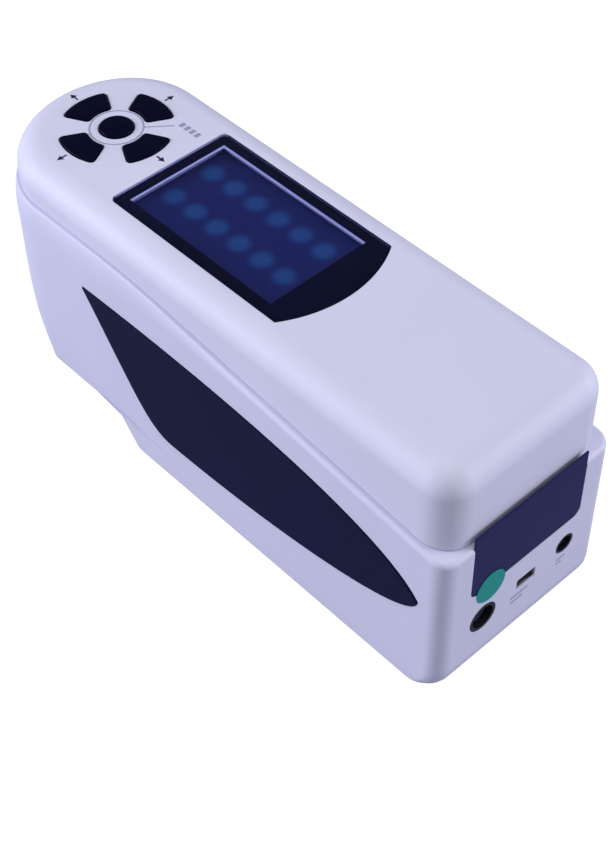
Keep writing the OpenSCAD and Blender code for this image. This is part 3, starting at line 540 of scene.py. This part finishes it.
# Pale round spots that the switched off display shows: two rows along X, far and near.
SPOT_GAP = 9.65
SPOT_FIRST_X = -36.6
SPOT_ROWS_Y = (9.2, -6.1)
SPOT_R = 3.6
SPOT_COUNT = 6
SPOT_FADE = (0.55, 1.25)  # shares of the radius between which a spot fades away
SPOT_SHIFT = 8  # whole gaps, which keep the repeated pattern's input above zero
GLASS_BLUE = "#1f2650"
SPOT_BLUE = "#264a70"


def spot_row(tree, from_spot, y, row_y):
    """Light of one row of spots, from the distance along X to the nearest spot."""
    off = add(tree, "ShaderNodeMath", {"operation": "SUBTRACT", 1: row_y * MM}, {0: y})
    vector = add(tree, "ShaderNodeCombineXYZ", {}, {"X": from_spot, "Y": off.outputs[0]})
    distance = add(tree, "ShaderNodeVectorMath", {"operation": "LENGTH"}, {0: vector.outputs[0]})
    core, edge = (SPOT_R * share * MM for share in SPOT_FADE)
    fade = add(
        tree, "ShaderNodeMapRange", {"From Min": core, "From Max": edge, "To Min": 1.0, "To Max": 0.0},
        {"Value": distance.outputs["Value"]},
    )
    return fade.outputs["Result"]


def display_glass():
    """Display glass, switched off: deep blue with two rows of faint round spots."""
    material, tree, place = start_material("display_glass_off")
    split = add(tree, "ShaderNodeSeparateXYZ", {}, {"Vector": place})
    half_gap = SPOT_GAP / 2
    shift = (half_gap - SPOT_FIRST_X + SPOT_GAP * SPOT_SHIFT) * MM
    along = add(tree, "ShaderNodeMath", {"operation": "ADD", 1: shift}, {0: split.outputs["X"]})
    cell = add(tree, "ShaderNodeMath", {"operation": "PINGPONG", 1: half_gap * MM}, {0: along.outputs[0]})
    from_spot = add(tree, "ShaderNodeMath", {"operation": "SUBTRACT", 0: half_gap * MM}, {1: cell.outputs[0]})
    rows = [spot_row(tree, from_spot.outputs[0], split.outputs["Y"], y) for y in SPOT_ROWS_Y]
    both = add(tree, "ShaderNodeMath", {"operation": "MAXIMUM"}, {0: rows[0], 1: rows[1]})
    last_x = SPOT_FIRST_X + SPOT_GAP * (SPOT_COUNT - 0.5)
    within = add(tree, "ShaderNodeMath", {"operation": "LESS_THAN", 1: last_x * MM}, {0: split.outputs["X"]})
    spots = add(
        tree, "ShaderNodeMath", {"operation": "MULTIPLY"}, {0: both.outputs[0], 1: within.outputs[0]}
    )
    base = add(
        tree, "ShaderNodeValToRGB", {}, {"Fac": spots.outputs[0]}, ((0.0, GLASS_BLUE), (1.0, SPOT_BLUE))
    )
    shader = add(
        tree, "ShaderNodeBsdfPrincipled", {"Roughness": 0.3, "Specular IOR Level": 0.15},
        {"Base Color": base.outputs["Color"]},
    )
    return finish_material(material, tree, shader)


# ABS from a sparked mould: pale and faintly violet, satin, with no mirror image.
cover_abs = moulded_plastic("moulded_abs_cover", "#cfd1df", "#d4d6e3", 0.5, gloss=0.3)

# The same ABS, a shade darker: the lower shell reads as a piece of its own.
housing_abs = moulded_plastic("moulded_abs_housing", "#cbccde", "#d0d1e1", 0.5, gloss=0.3)

# Soft-touch rubber, moulded: deep blue and nearly dull.
grip_rubber = moulded_plastic("soft_touch_rubber", "#0e1030", "#111336", 0.55, 0.25, 0.03, gloss=0.08)

# Closed foam, cut from sheet: dull and porous, in the colour of the shells.
seal_foam = moulded_plastic("pale_seal_foam", "#b4b6d2", "#bdbfda", 0.9, 0.6, 0.1, gloss=0.1)

# Dense rubber, moulded: dark grey and dull.
foot_rubber = moulded_plastic("foot_rubber", "#202126", "#2a2b31", 0.75, 0.4, 0.05)

# Polycarbonate from a polished mould: nearly black, with a thin light on its round edges.
key_plastic = moulded_plastic("key_polycarbonate", "#04061a", "#060820", 0.30, 0.3, gloss=0.04)

# Nylon, moulded: black with a low sheen.
black_nylon = moulded_plastic("black_nylon", "#0c0d14", "#11121a", 0.4, 0.3, 0.03, gloss=0.3)

# Nylon from a polished mould: dark blue grey, with a thin gloss.
rocker_nylon = moulded_plastic("rocker_nylon", "#20243a", "#282c44", 0.3, 0.3, coat=0.3)

# Polycarbonate film, printed on its back: deep blue, even and satin.
panel_film = moulded_plastic("printed_polycarbonate_film", "#1b1f4c", "#1e2252", 0.42, 0.3, gloss=0.1)

# Black ink, screen printed behind the window: flat, with hardly a reflection.
border_ink = moulded_plastic("screen_printed_border", "#070a1c", "#090c22", 0.3, 0.4, 0.005, gloss=0.04)

# Grey ink, pad printed: flat and dull.
grey_ink = moulded_plastic("grey_printing_ink", "#8f92ac", "#989bb4", 0.5, 0.3, 0.005)

# Dark ink, pad printed: blue black and flat.
dark_ink = moulded_plastic("dark_printing_ink", "#1a1c33", "#202239", 0.5, 0.3, 0.005, gloss=0.2)

# Silver ink, screen printed behind the window: pale grey and even.
silver_ink = moulded_plastic("silver_printing_ink", "#aeafc6", "#b8b9ce", 0.4, 0.3, 0.005)

# Paper label, printed green: dull, and the one strong colour.
green_paper = moulded_plastic("green_paper_label", "#148a7c", "#189285", 0.6, 0.3, gloss=0.3)

# Barium paint, sprayed: chalk white and fully dull.
sphere_paint = moulded_plastic("white_reflective_paint", "#e6e6e0", "#efefe9", 0.9, 0.4, 0.05)

# Solder mask, cured on a glass-fibre board: green, with a thin gloss.
board_green = moulded_plastic("solder_mask", "#0f4a2c", "#155a36", 0.4, 0.5, coat=0.3)

# Silicone, moulded: milky and satin.
silicone = moulded_plastic("milky_silicone", "#b8b9c2", "#c4c5cc", 0.5, 0.5, 0.03)

# Polyimide film, laminated: amber and smooth.
ribbon_film = moulded_plastic("polyimide_ribbon", "#b48a4a", "#c29a58", 0.35, 0.5, 0.01, coat=0.2)

# Shrink sleeve, drawn tight by heat: blue and glossy.
cell_sleeve = moulded_plastic("shrink_sleeve", "#33609a", "#3a69a6", 0.3, 0.5, coat=0.3)

# Epoxy, cast as a lamp's body: pale yellow and shiny.
lamp_epoxy = moulded_plastic("lamp_epoxy", "#ebe7cd", "#f3efd8", 0.2, 0.5, 0.01, coat=0.3)

# Steel, drawn and zinc plated: grey, with fine streaks.
zinc_steel = metal("zinc_plated_steel", "#9a9ca3", "#b4b6bc", 0.35)

# Steel sheet, rolled and tinned: a little brighter and smoother.
tin_plate = metal("tinned_sheet", "#a6a8ae", "#c2c4c9", 0.3)

# Acrylic sheet, hard coated against reflections, hence the low IOR: clear, with a blue tint.
window_acrylic = clear_sheet("hard_coated_acrylic", "#d4d8ee", 0.03, 1.14, gloss=0.15)

# Optical glass, polished: clear, with sharp reflections.
lens_glass = clear_sheet("optical_glass", "#eef4f6", 0.0, 1.52)

# Display glass with an etched face, switched off: deep blue and satin, its spots just seen.
display_off = display_glass()


def give(piece, material):
    """Make this the only material of the piece."""
    piece.data.materials.clear()
    piece.data.materials.append(material)
    return piece


def place_piece(piece, material, stands_for=(), body=BODY):
    """Finish a piece, fix it to its body, and hide the nodes that it replaces."""
    give(piece, material)
    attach(piece, body)
    if stands_for:
        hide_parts(*stands_for)
    return piece


NODE_MATERIALS = {
    seal_foam: ["parting_seal"],
    border_ink: ["window_mask"],
    display_off: ["display_panel"],
    tin_plate: ["display_frame", "key_switches", "usb_socket"],
    silicone: ["key_mat"],
    board_green: ["display_board", "key_board", "sensor_board", "lamp_board", "main_board", "socket_board"],
    sphere_paint: ["sphere_base", "sphere_cap", "aperture_ring"],
    zinc_steel: ["sphere_screws", "board_screws", "door_screw", "case_screws", "rocker_pin", "cell_contacts"],
    black_nylon: ["port_collar", "lens_barrel", "light_sensor", "board_chips", "buzzer", "cell_holder",
                  "charging_socket", "power_switch"],
    rocker_nylon: ["power_rocker"],
    lens_glass: ["lens"],
    lamp_epoxy: ["lamps"],
    ribbon_film: ["flat_cable"],
    cell_sleeve: ["near_cell", "far_cell"],
    foot_rubber: ["feet"],
    housing_abs: ["battery_door"],
    green_paper: ["status_sticker"],
}


def dress_nodes():
    """Give each node that stays its real finish."""
    for material, names in NODE_MATERIALS.items():
        for name in names:
            give(bpy.data.objects[name], material)


# The keys, round one point on the top.
KEYS_X = (middle_low.x + middle_high.x) / 2
FLANGE_OUT = 0.8
RING_R = KEYS_X - nose_key_low.x - FLANGE_OUT
RING_IN_R = 9.3
MIDDLE_R = (middle_high.y - middle_low.y) / 2 - FLANGE_OUT
KEY_HALF_ANGLE = 28.0
KEY_GAP = 0.3
KEY_CORNER_R = 1.2
KEY_ARC_STEPS = 14
KEY_TURNS = {"tail_key": 0, "far_key": 90, "nose_key": 180, "near_key": 270}


def key_outline(grow, corner=KEY_CORNER_R):
    """The outline of the ring key that faces +X, with round corners."""
    shift = (grow - corner) / math.sin(math.radians(KEY_HALF_ANGLE))
    outer = RING_R + grow - corner
    inner = RING_IN_R - grow + corner

    def angle_at(r):
        lean = math.radians(KEY_HALF_ANGLE)
        return lean + math.asin(shift * math.sin(lean) / r)

    def stretch(r, sign):
        top = angle_at(r)
        return [
            (r * math.cos(t), r * math.sin(t))
            for t in [sign * top * (2 * i / KEY_ARC_STEPS - 1) for i in range(KEY_ARC_STEPS + 1)]
        ]

    return grown(stretch(outer, 1) + stretch(inner, -1), corner)


WINDOW_L = 72.0  # along its straight sides
WINDOW_CORNER_R = 2.0
BULGE_STEPS = 40


def window_outline(inset):
    """The display window: round corners at the nose and a bulging rear edge."""
    half = window_high.y + FIT - inset
    x0 = window_low.x - FIT + inset
    x1 = window_low.x - FIT + WINDOW_L
    bulge = window_high.x + FIT - x1 - inset
    r = (half * half + bulge * bulge) / (2 * bulge)
    reach = math.asin(half / r)
    corner = WINDOW_CORNER_R
    points = [
        (x1 + bulge - r + r * math.cos(t), r * math.sin(t))
        for t in [reach * (2 * i / BULGE_STEPS - 1) for i in range(BULGE_STEPS + 1)]
    ]
    for sy, start in ((1, 90), (-1, 180)):
        for a in arc(CORNER_STEPS, start, start + 90):
            points.append((x0 + corner + corner * math.cos(a), sy * (half - corner) + corner * math.sin(a)))
    return points


def turned(outline, degrees, x=0.0):
    """The outline turned about the vertical axis, then moved along X."""
    c, s = math.cos(math.radians(degrees)), math.sin(math.radians(degrees))
    return [(x + px * c - py * s, px * s + py * c) for px, py in outline]


CUT = 0.5  # how far a cutting shape reaches past the wall that it opens
CUT_EDGE = 0.1  # rounding of a cutting shape's far end, outside what it cuts
OVER = 1.0  # how far the cutting shapes stand out of the sides and the base
WITHIN = WALL + 1.5  # an inner ring, which keeps the end of a bent skin in shape
SCREEN_GAP = 0.6
PANEL_RIM = 3.4
OPENING_EDGE = 0.22  # width of the softened edge of the openings on top
SAME_LEVEL = 1e-6  # metres
UPRIGHT = 0.1  # an upright face's normal rises less than this
LEVEL = 0.9  # and a level face's normal more than this

# Lower edge of the cover: how far in, and how far up.
COVER_EDGE = ((WITHIN, 0), (0.2, 0), (0.05, 0.07), (0, 0.25))
CROWN_STEPS = 14
INNER_CROWN_STEPS = 6


def soften_openings(piece, z, width):
    """Round the edges where openings meet the flat face at height z."""
    bm = bmesh.new()
    bm.from_mesh(piece.data)
    edges = []
    for edge in bm.edges:
        level = all(abs(v.co.z - z * MM) < SAME_LEVEL for v in edge.verts)
        if level and len(edge.link_faces) == 2:
            ups = [abs(face.normal.z) for face in edge.link_faces]
            if min(ups) < UPRIGHT and max(ups) > LEVEL:
                edges.append(edge)
    bmesh.ops.bevel(bm, geom=edges, offset=width * MM, segments=2, affect="EDGES", profile=0.5)
    bm.to_mesh(piece.data)
    bm.free()


def crown_rings(top, inset, r, steps):
    """Outlines up a rounded crown of radius r, which ends level at a height."""
    return [
        nose_ring(top - r * (1 - math.sin(a)), inset + r * (1 - math.cos(a)), 0, COVER_CORNER_R)
        for a in arc(steps)
    ]


def cover_cutters():
    """The hollow of the cover, the window's recess and the openings for screen and keys."""
    hollow = [parting_ring(LEDGE + WALL, 1, 0, COVER_CORNER_R)]
    hollow += crown_rings(TOP_Z - WALL, LEDGE + WALL, CROWN_R - WALL, INNER_CROWN_STEPS)
    screen = rectangle(
        panel_low.x + PANEL_RIM - SCREEN_GAP, panel_low.y + PANEL_RIM - SCREEN_GAP,
        panel_high.x - PANEL_RIM + SCREEN_GAP, panel_high.y - PANEL_RIM + SCREEN_GAP,
    )
    below = TOP_Z - WALL - CUT
    cutters = [
        loft("hollow", hollow),
        slab("recess", window_outline(0), mask_low.z, TOP_Z + CUT, CUT_EDGE),
        slab("screen_hole", screen, below, TOP_Z, CUT_EDGE),
        slab("middle_hole", circle(MIDDLE_R + KEY_GAP, (KEYS_X, 0)), below, TOP_Z + CUT, CUT_EDGE),
    ]
    for turn in KEY_TURNS.values():
        outline = turned(key_outline(KEY_GAP, KEY_CORNER_R + KEY_GAP), turn, KEYS_X)
        cutters.append(slab("key_hole", outline, below, TOP_Z + CUT, CUT_EDGE))
    return cutters


def build_cover():
    """The top cover: crown, window recess and key openings in one shell."""
    rings = [parting_ring(LEDGE + inset, -SEAL_H - lift, 0, COVER_CORNER_R) for inset, lift in COVER_EDGE]
    cover = loft("cover_shell", rings + crown_rings(TOP_Z, LEDGE, CROWN_R, CROWN_STEPS))
    carve(cover, cover_cutters())
    soften_openings(cover, TOP_Z, OPENING_EDGE)
    return place_piece(smooth(cover), cover_abs, stands_for=["top_cover"])


SEAL_IN = 0.15
SEAL_CLEAR = 0.01  # gap to the shells, below and above


def build_seal():
    """The pale band between the cover and the ledge of the housing."""
    inset = LEDGE + SEAL_IN
    low, high = -SEAL_CLEAR, SEAL_CLEAR - SEAL_H
    seal = loft("seal_band", [
        parting_ring(inset + more, d, 0, COVER_CORNER_R)
        for more, d in ((WITHIN, low), (0, low), (0, high), (WITHIN, high))
    ])
    hollow = loft("hollow", [parting_ring(LEDGE + WALL, d, 0, COVER_CORNER_R) for d in (CUT, -SEAL_H - CUT)])
    carve(seal, [hollow])
    return place_piece(smooth(seal), seal_foam, stands_for=["parting_seal"])


# Outline of a grip: three cubic curves, as in the part's own construction.
GRIP_STEPS = 28
GRIP_CURVES = (
    ((-49.8, 61.0), (-2.4, 62.4), (77.4, 61.7), (93.8, 41.3)),
    ((93.8, 41.3), (92.7, 29.1), (36.4, 19.8), (-11.2, 19.6)),
    ((-11.2, 19.6), (-23.5, 19.4), (-29.1, 32.6), (-49.8, 61.0)),
)


def cubic(p, t):
    """A point on a cubic curve with four control points."""
    weights = ((1 - t) ** 3, 3 * t * (1 - t) ** 2, 3 * t * t * (1 - t), t ** 3)
    return tuple(sum(w * q[axis] for w, q in zip(weights, p)) for axis in (0, 1))


def grip_outline():
    """The outline of the near grip, seen from the near side."""
    points = [cubic(curve, i / GRIP_STEPS) for curve in GRIP_CURVES for i in range(GRIP_STEPS)]
    return list(reversed(points))


def grip_sides():
    """The name, the plane and the outline of each grip."""
    outline = grip_outline()
    mirrored = [(-x, z) for x, z in reversed(outline)]
    return (("near_grip", NEAR_SIDE, outline), ("far_grip", FAR_SIDE, mirrored))


GRIP_GROOVE = 0.35
GRIP_EDGE = 0.35
GRIP_DEPTH = 1.2


def build_grips():
    """Both grips: soft inlays that stand a little proud of the sides."""
    for name, plane, shape in grip_sides():
        piece = slab(name + "_inlay", shape, HALF_W - GRIP_DEPTH, GRIP_OUT, GRIP_EDGE, plane)
        place_piece(smooth(piece), grip_rubber, stands_for=[name])


SWITCH_Y = (switch_low.y + switch_high.y) / 2
SWITCH_Z = (switch_low.z + switch_high.z) / 2
SWITCH_R = (switch_high.y - switch_low.y) / 2
JACK_Y = (jack_low.y + jack_high.y) / 2
JACK_Z = (jack_low.z + jack_high.z) / 2
JACK_R = (jack_high.y - jack_low.y) / 2
SOCKET_GAP = 0.2
PLATE_CORNER_R = 3.0


def plate_outline(grow):
    """The dark plate on the tail: square above, round corners below."""
    x0, x1 = plate_low.y - grow, plate_high.y + grow
    z0, z1 = plate_low.z - grow, plate_high.z + grow
    r = PLATE_CORNER_R
    points = [(x0 + r + r * math.cos(a), z0 + r + r * math.sin(a)) for a in arc(CORNER_STEPS, 180, 270)]
    points += [(x1 - r + r * math.cos(a), z0 + r + r * math.sin(a)) for a in arc(CORNER_STEPS, 270, 360)]
    return points + [(x1, z1), (x0, z1)]


# Rings of the housing's skin, from the base up.
BASE_STEPS = 6
BASE_LIFT = 0.002  # keeps the first rings of the base apart
STEP_SHARES = (0.25, 0.5, 0.75, 1)
FLOOR_EDGE = (0, 0.04, 0.15, 0.34, 0.6, 1)  # shares of the height of the nose floor's round edge
CHIN_RINGS = 15
CHIN_LOW = 0.95  # share of the chin's height below the parting line, where its rings start
CHIN_SPAN = 0.6
SHOULDER_FOOT = 1.25  # share of the shoulder's height at the last straight ring below it

# The shoulder, from its foot up: how far in, and the share of its height that is left.
SHOULDER_CURVE = (
    (0, 1), (0.06, 0.8), (0.2, 0.55), (0.42, 0.33), (0.75, 0.14), (1.05, 0.04), (1.3, 0)
)

# Rings of the housing's hollow, from its floor up. Under the parting line its wall leans in to the
# shelf that carries the cover, between these two depths.
HOLLOW_STEP_SHARES = (0, 0.35, 0.7, 1)
HOLLOW_CHIN_SHARES = (1, 0.96, 0.9, 0.84, 0.77, 0.68, 0.56, 0.4)
SHELF_DROP = 5
SHELF_H = 3
SHELF_IN = LEDGE + WALL + 0.2

# Screw bores, the socket openings and the port.
CASE_XS = (X_NOSE + 51.5, X_TAIL - 16.0)
CASE_Y = HALF_W - SHELF_IN - 3.8
HEAD_R = 3.1
BORE_TOP = 20
SWITCH_LIP = 0.5
SWITCH_REST = 1.0
USB_CORNER_R = 0.6
COLLAR_LIP = 2.1


def housing_rings():
    """The skin of the lower housing, as outlines from the base up."""
    rings = []
    for a in arc(BASE_STEPS, 90, 0):
        z = FOOT_H + BASE_R * (1 - math.sin(a)) + BASE_LIFT * len(rings)
        rings.append(step_ring(z, BASE_R * (1 - math.cos(a)), 0))
    for t in STEP_SHARES:
        rings.append(step_ring(FOOT_H + BASE_R + (STEP_TOP - FOOT_H - BASE_R) * t, 0, 0))
    for d in FLOOR_EDGE:
        rings.append(nose_ring(NOSE_FLOOR_Z + BASE_R * d, 0, round_in(BASE_R, BASE_R * d)))
    for i in range(1, CHIN_RINGS + 1):
        rings.append(nose_ring(PARTING_NOSE_Z - CHIN_H * (CHIN_LOW - CHIN_SPAN * i / CHIN_RINGS), 0))
    rings.append(parting_ring(0, 0, SHOULDER_FOOT))
    rings += [parting_ring(inset, 0, share) for inset, share in SHOULDER_CURVE]
    rings.append(parting_ring(LEDGE + WITHIN, 0, 0, COVER_CORNER_R))
    return rings


def hollow_rings():
    """The hollow of the lower housing, as outlines from its floor up."""
    floor = FOOT_H + WALL
    rings = [step_ring(floor + (STEP_TOP - FOOT_H) * t, WALL, WALL) for t in HOLLOW_STEP_SHARES]
    rings += [nose_ring(PARTING_NOSE_Z - (CHIN_H - WALL) * u, WALL) for u in HOLLOW_CHIN_SHARES]
    rings.append(parting_ring(WALL, SHELF_DROP))
    rings += [parting_ring(SHELF_IN, drop, 0, COVER_CORNER_R) for drop in (SHELF_H, -SHELF_H)]
    return rings


def tail_cutters():
    """Openings in the tail: the plate's recess, the switch and both sockets."""
    inside = X_TAIL - WALL - CUT
    switch, jack = (SWITCH_Y, SWITCH_Z), (JACK_Y, JACK_Z)
    usb = rectangle(
        usb_low.y - SOCKET_GAP, usb_low.z - SOCKET_GAP,
        usb_high.y + SOCKET_GAP, usb_high.z + SOCKET_GAP, USB_CORNER_R,
    )
    openings = (
        ("plate_recess", plate_outline(FIT), plate_low.x),
        ("tail_hole", circle(SWITCH_R - SWITCH_LIP, switch), inside),
        ("tail_hole", circle(SWITCH_R + FIT, switch), X_TAIL - SWITCH_REST),
        ("tail_hole", circle(JACK_R + SOCKET_GAP, jack), inside),
        ("tail_hole", usb, inside),
    )
    return [slab(name, shape, low, X_TAIL + CUT, CUT_EDGE, TAIL_SIDE) for name, shape, low in openings]


def base_cutters():
    """Openings in the base: the battery door, the measuring port and four screw bores."""
    door = rectangle(door_low.x - KEY_GAP, door_low.y - KEY_GAP, door_high.x + KEY_GAP, door_high.y + KEY_GAP)
    port_at = ((collar_low.x + collar_high.x) / 2, 0)
    port = circle(collar_high.y - COLLAR_LIP, port_at, WIDE_STEPS)
    cutters = [
        slab("door_pocket", door, -OVER, door_high.z, CUT_EDGE),
        slab("port_hole", port, 0, NOSE_FLOOR_Z + WALL + CUT, CUT_EDGE),
    ]
    for x in CASE_XS:
        for y in (CASE_Y, -CASE_Y):
            bore = circle(HEAD_R, (x, y), SMALL_STEPS)
            cutters.append(slab("screw_bore", bore, -OVER, BORE_TOP, CUT_EDGE))
    return cutters


def build_housing():
    """The lower housing, with its rounded shoulder, raised nose and openings."""
    housing = loft("housing_shell", housing_rings())
    cutters = [loft("hollow", hollow_rings())]
    for _, plane, shape in grip_sides():
        pocket = grown(shape, GRIP_GROOVE)
        cutters.append(slab("pocket", pocket, HALF_W - GRIP_DEPTH, HALF_W + OVER, CUT_EDGE, plane))
    carve(housing, cutters + tail_cutters() + base_cutters())
    return place_piece(smooth(housing), housing_abs, stands_for=["lower_housing"])


PLUNGER_H = 1.5  # a key's cap starts this far above its plunger's foot
KEY_EDGE = 0.45
KEY_DOME = 0.1
KEY_EDGE_STEPS = 5
MIDDLE_EDGE = 0.6
MIDDLE_DOME = 0.2
MIDDLE_EDGE_STEPS = 6


def build_keys():
    """Four arc keys and the round middle key, each with a soft edge."""
    low = nose_key_low.z + PLUNGER_H
    for name, turn in KEY_TURNS.items():
        outline = turned(key_outline(0), turn, KEYS_X)
        cap = slab(
            name + "_cap", outline, low, nose_key_high.z, KEY_EDGE, steps=KEY_EDGE_STEPS, dome=KEY_DOME
        )
        place_piece(smooth(cap), key_plastic, stands_for=[name], body=name)
    outline = circle(MIDDLE_R, (KEYS_X, 0), WIDE_STEPS)
    cap = slab(
        "middle_key_cap", outline, low, middle_high.z, MIDDLE_EDGE, steps=MIDDLE_EDGE_STEPS, dome=MIDDLE_DOME
    )
    place_piece(smooth(cap), key_plastic, stands_for=["middle_key"], body="middle_key")


# Printed marks: how far the ink stands proud, how deep it is set in, and its places.
INK_H = 0.03
INK_IN = 0.05
LINE_W = 0.5
PRINT_RING_R = 8.35
ARROW = ((19.3, -0.3), (21.0, -0.3), (21.0, -1.1), (23.0, 0.0), (21.0, 1.1), (21.0, 0.3), (19.3, 0.3))
LEADER = ((-65.3, 6.2), (-59.4, 13.4))
MARK_BARS = 4
MARK_X = -58.7
MARK_Y = 15.4
MARK_W = 1.5
MARK_HALF_H = 1.1
MARK_PITCH = 2.35


def ink(name, outline, top=TOP_Z, place=Matrix()):
    """A thin layer of ink on a flat face."""
    return slab(name, outline, top - INK_IN, top + INK_H, INK_H / 2, place, steps=1)


def print_on_top(name, outline, material=grey_ink):
    """A mark printed on the cover."""
    return place_piece(smooth(ink(name, outline)), material)


def build_prints():
    """The printed marks round the keys: a ring, four arrows, a leader line and a plain mark."""
    around = (KEYS_X, 0)
    ring = ink("printed_ring", circle(PRINT_RING_R + LINE_W / 2, around, WIDE_STEPS))
    inner = circle(PRINT_RING_R - LINE_W / 2, around, WIDE_STEPS)
    carve(ring, [slab("ring_hole", inner, TOP_Z - CUT, TOP_Z + CUT, CUT_EDGE)])
    place_piece(smooth(ring), grey_ink)
    for turn in KEY_TURNS.values():
        print_on_top("printed_arrow_%d" % turn, turned(ARROW, turn, KEYS_X), dark_ink)
    (x0, y0), (x1, y1) = LEADER
    across = Vector((y0 - y1, x1 - x0)).normalized() * LINE_W / 2
    line = [(x0 - across.x, y0 - across.y), (x1 - across.x, y1 - across.y),
            (x1 + across.x, y1 + across.y), (x0 + across.x, y0 + across.y)]
    print_on_top("printed_leader", line)
    for i in range(MARK_BARS):
        x = MARK_X + i * MARK_PITCH
        bar = rectangle(x, MARK_Y - MARK_HALF_H, x + MARK_W, MARK_Y + MARK_HALF_H)
        print_on_top("printed_bar_%d" % i, bar)


WINDOW_CLEAR = 0.1  # gap between the window and the border printed below it
WINDOW_EDGE = 0.15
SILVER_W = 0.95
SILVER_IN = 0.05
SILVER_H = 0.04
SILVER_EDGE = 0.02


def build_display():
    """The window, and the silver line printed round two sides of its screen."""
    z = mask_high.z
    window = slab("window_sheet", window_outline(FIT), z + WINDOW_CLEAR, TOP_Z, WINDOW_EDGE, steps=2)
    place_piece(smooth(window), window_acrylic, stands_for=["display_window"])
    x0 = panel_low.x + PANEL_RIM - SILVER_W
    y1 = panel_high.y - PANEL_RIM + SILVER_W
    x1 = panel_high.x - PANEL_RIM
    y0 = panel_low.y + PANEL_RIM
    inner_x, inner_y = x0 + SILVER_W, y1 - SILVER_W
    shape = [(x0, y0), (inner_x, y0), (inner_x, inner_y), (x1, inner_y), (x1, y1), (x0, y1)]
    line = slab("silver_line", shape, z - SILVER_IN, z + SILVER_H, SILVER_EDGE, steps=1)
    place_piece(line, silver_ink)


# Low and high corners of the plain grey bars printed by the sockets, across and up the tail.
TAIL_BARS = (
    (-4.6, 23.6, 2.6, 24.5),
    (-4.6, 21.4, 0.6, 22.3),
    (14.8, 24.2, 18.8, 25.0),
    (14.8, 22.4, 17.2, 23.2),
)
PLATE_SUNK = 0.05
PLATE_EDGE = 0.12


def build_tail():
    """The plate on the tail and the marks printed by the sockets."""
    for i, corners in enumerate(TAIL_BARS):
        bar = ink("printed_tail_bar_%d" % i, rectangle(*corners), X_TAIL, TAIL_SIDE)
        place_piece(bar, grey_ink)
    plate = slab(
        "tail_panel", plate_outline(0), plate_low.x, X_TAIL - PLATE_SUNK, PLATE_EDGE, TAIL_SIDE, steps=2
    )
    place_piece(smooth(plate), panel_film, stands_for=["tail_plate"])


# The lamps: name, place in metres, size in metres, watts and tint.
LAMPS = (
    ("top_light", (0.3, -0.2, 1.2), 0.8, 4.7, "#fffaf2"),
    ("nose_light", (-0.9, -0.9, 0.5), 0.7, 16.8, "#ecebff"),
    ("tail_light", (0.9, 0.9, 0.5), 0.7, 11.8, "#ecebff"),
)
LAMPS_AIM = (0, 0, 0.04)
SURROUND_TINT = "#dde1ff"
SURROUND_STRENGTH = 0.36
WHITE = (1, 1, 1, 1)


def add_light(name, at, size, power, tint):
    """A square lamp that faces the instrument."""
    data = bpy.data.lights.new(name, "AREA")
    data.size = size
    data.energy = power
    data.color = colour(tint)[:-1]
    lamp = bpy.data.objects.new(name, data)
    lamp.location = at
    aim = Vector(LAMPS_AIM) - Vector(at)
    lamp.rotation_euler = aim.to_track_quat("-Z", "Y").to_euler()
    bpy.context.collection.objects.link(lamp)


def add_studio():
    """Soft studio light and a white surround."""
    world = bpy.data.worlds.new("studio")
    bpy.context.scene.world = world
    world.use_nodes = True
    tree = world.node_tree
    tree.nodes.clear()
    seen = add(tree, "ShaderNodeLightPath")
    surround = add(
        tree, "ShaderNodeBackground", {"Color": colour(SURROUND_TINT), "Strength": SURROUND_STRENGTH}
    )
    white = add(tree, "ShaderNodeBackground", {"Color": WHITE, "Strength": 1.0})
    mix = add(
        tree, "ShaderNodeMixShader", {},
        {0: seen.outputs["Is Camera Ray"], 1: surround.outputs[0], 2: white.outputs[0]},
    )
    add(tree, "ShaderNodeOutputWorld", {}, {"Surface": mix.outputs[0]})
    for lamp in LAMPS:
        add_light(*lamp)


GROUND_HALF = 6.0  # metres
PAPER_MM = 1.5  # paper's fibres clump at about this size
GROUND_GLOW = 0.92


def add_floor():
    """A white ground: lit paper that glows for the camera, and clear from below."""
    h = GROUND_HALF
    floor = mesh_from("floor", lambda bm: bm.faces.new([
        bm.verts.new((x, y, 0)) for x, y in ((-h, -h), (h, -h), (h, h), (-h, h))
    ]))
    material, tree, place = start_material("white_paper_ground")
    seen = add(tree, "ShaderNodeLightPath")
    fibres = add(tree, "ShaderNodeTexNoise", {"Scale": 1 / (PAPER_MM * MM), "Detail": 2.0}, {"Vector": place})
    shades = (("#88888b", "#8d8d90"), ("#a8a9b0", "#acadb4"))
    lit, plain = (
        add(tree, "ShaderNodeBsdfDiffuse", {}, {"Color": add(
            tree, "ShaderNodeValToRGB", {}, {"Fac": fibres.outputs["Fac"]}, zip(NOISE, pair)
        ).outputs["Color"]})
        for pair in shades
    )
    glow = add(tree, "ShaderNodeEmission", {"Color": WHITE, "Strength": GROUND_GLOW})
    both = add(tree, "ShaderNodeAddShader", {}, {0: lit.outputs[0], 1: glow.outputs[0]})
    mix = add(
        tree, "ShaderNodeMixShader", {},
        {0: seen.outputs["Is Camera Ray"], 1: plain.outputs[0], 2: both.outputs[0]},
    )
    under = add(tree, "ShaderNodeNewGeometry").outputs["Backfacing"]
    clear = add(tree, "ShaderNodeBsdfTransparent")
    sheet = add(tree, "ShaderNodeMixShader", {}, {0: under, 1: mix.outputs[0], 2: clear.outputs[0]})
    finish_material(material, tree, sheet)
    give(floor, material)


add_camera()
dress_nodes()
build_cover()
build_seal()
build_housing()
build_grips()
build_display()
build_keys()
build_prints()
build_tail()
add_studio()
add_floor()
bpy.context.scene.view_settings.view_transform = "Standard"
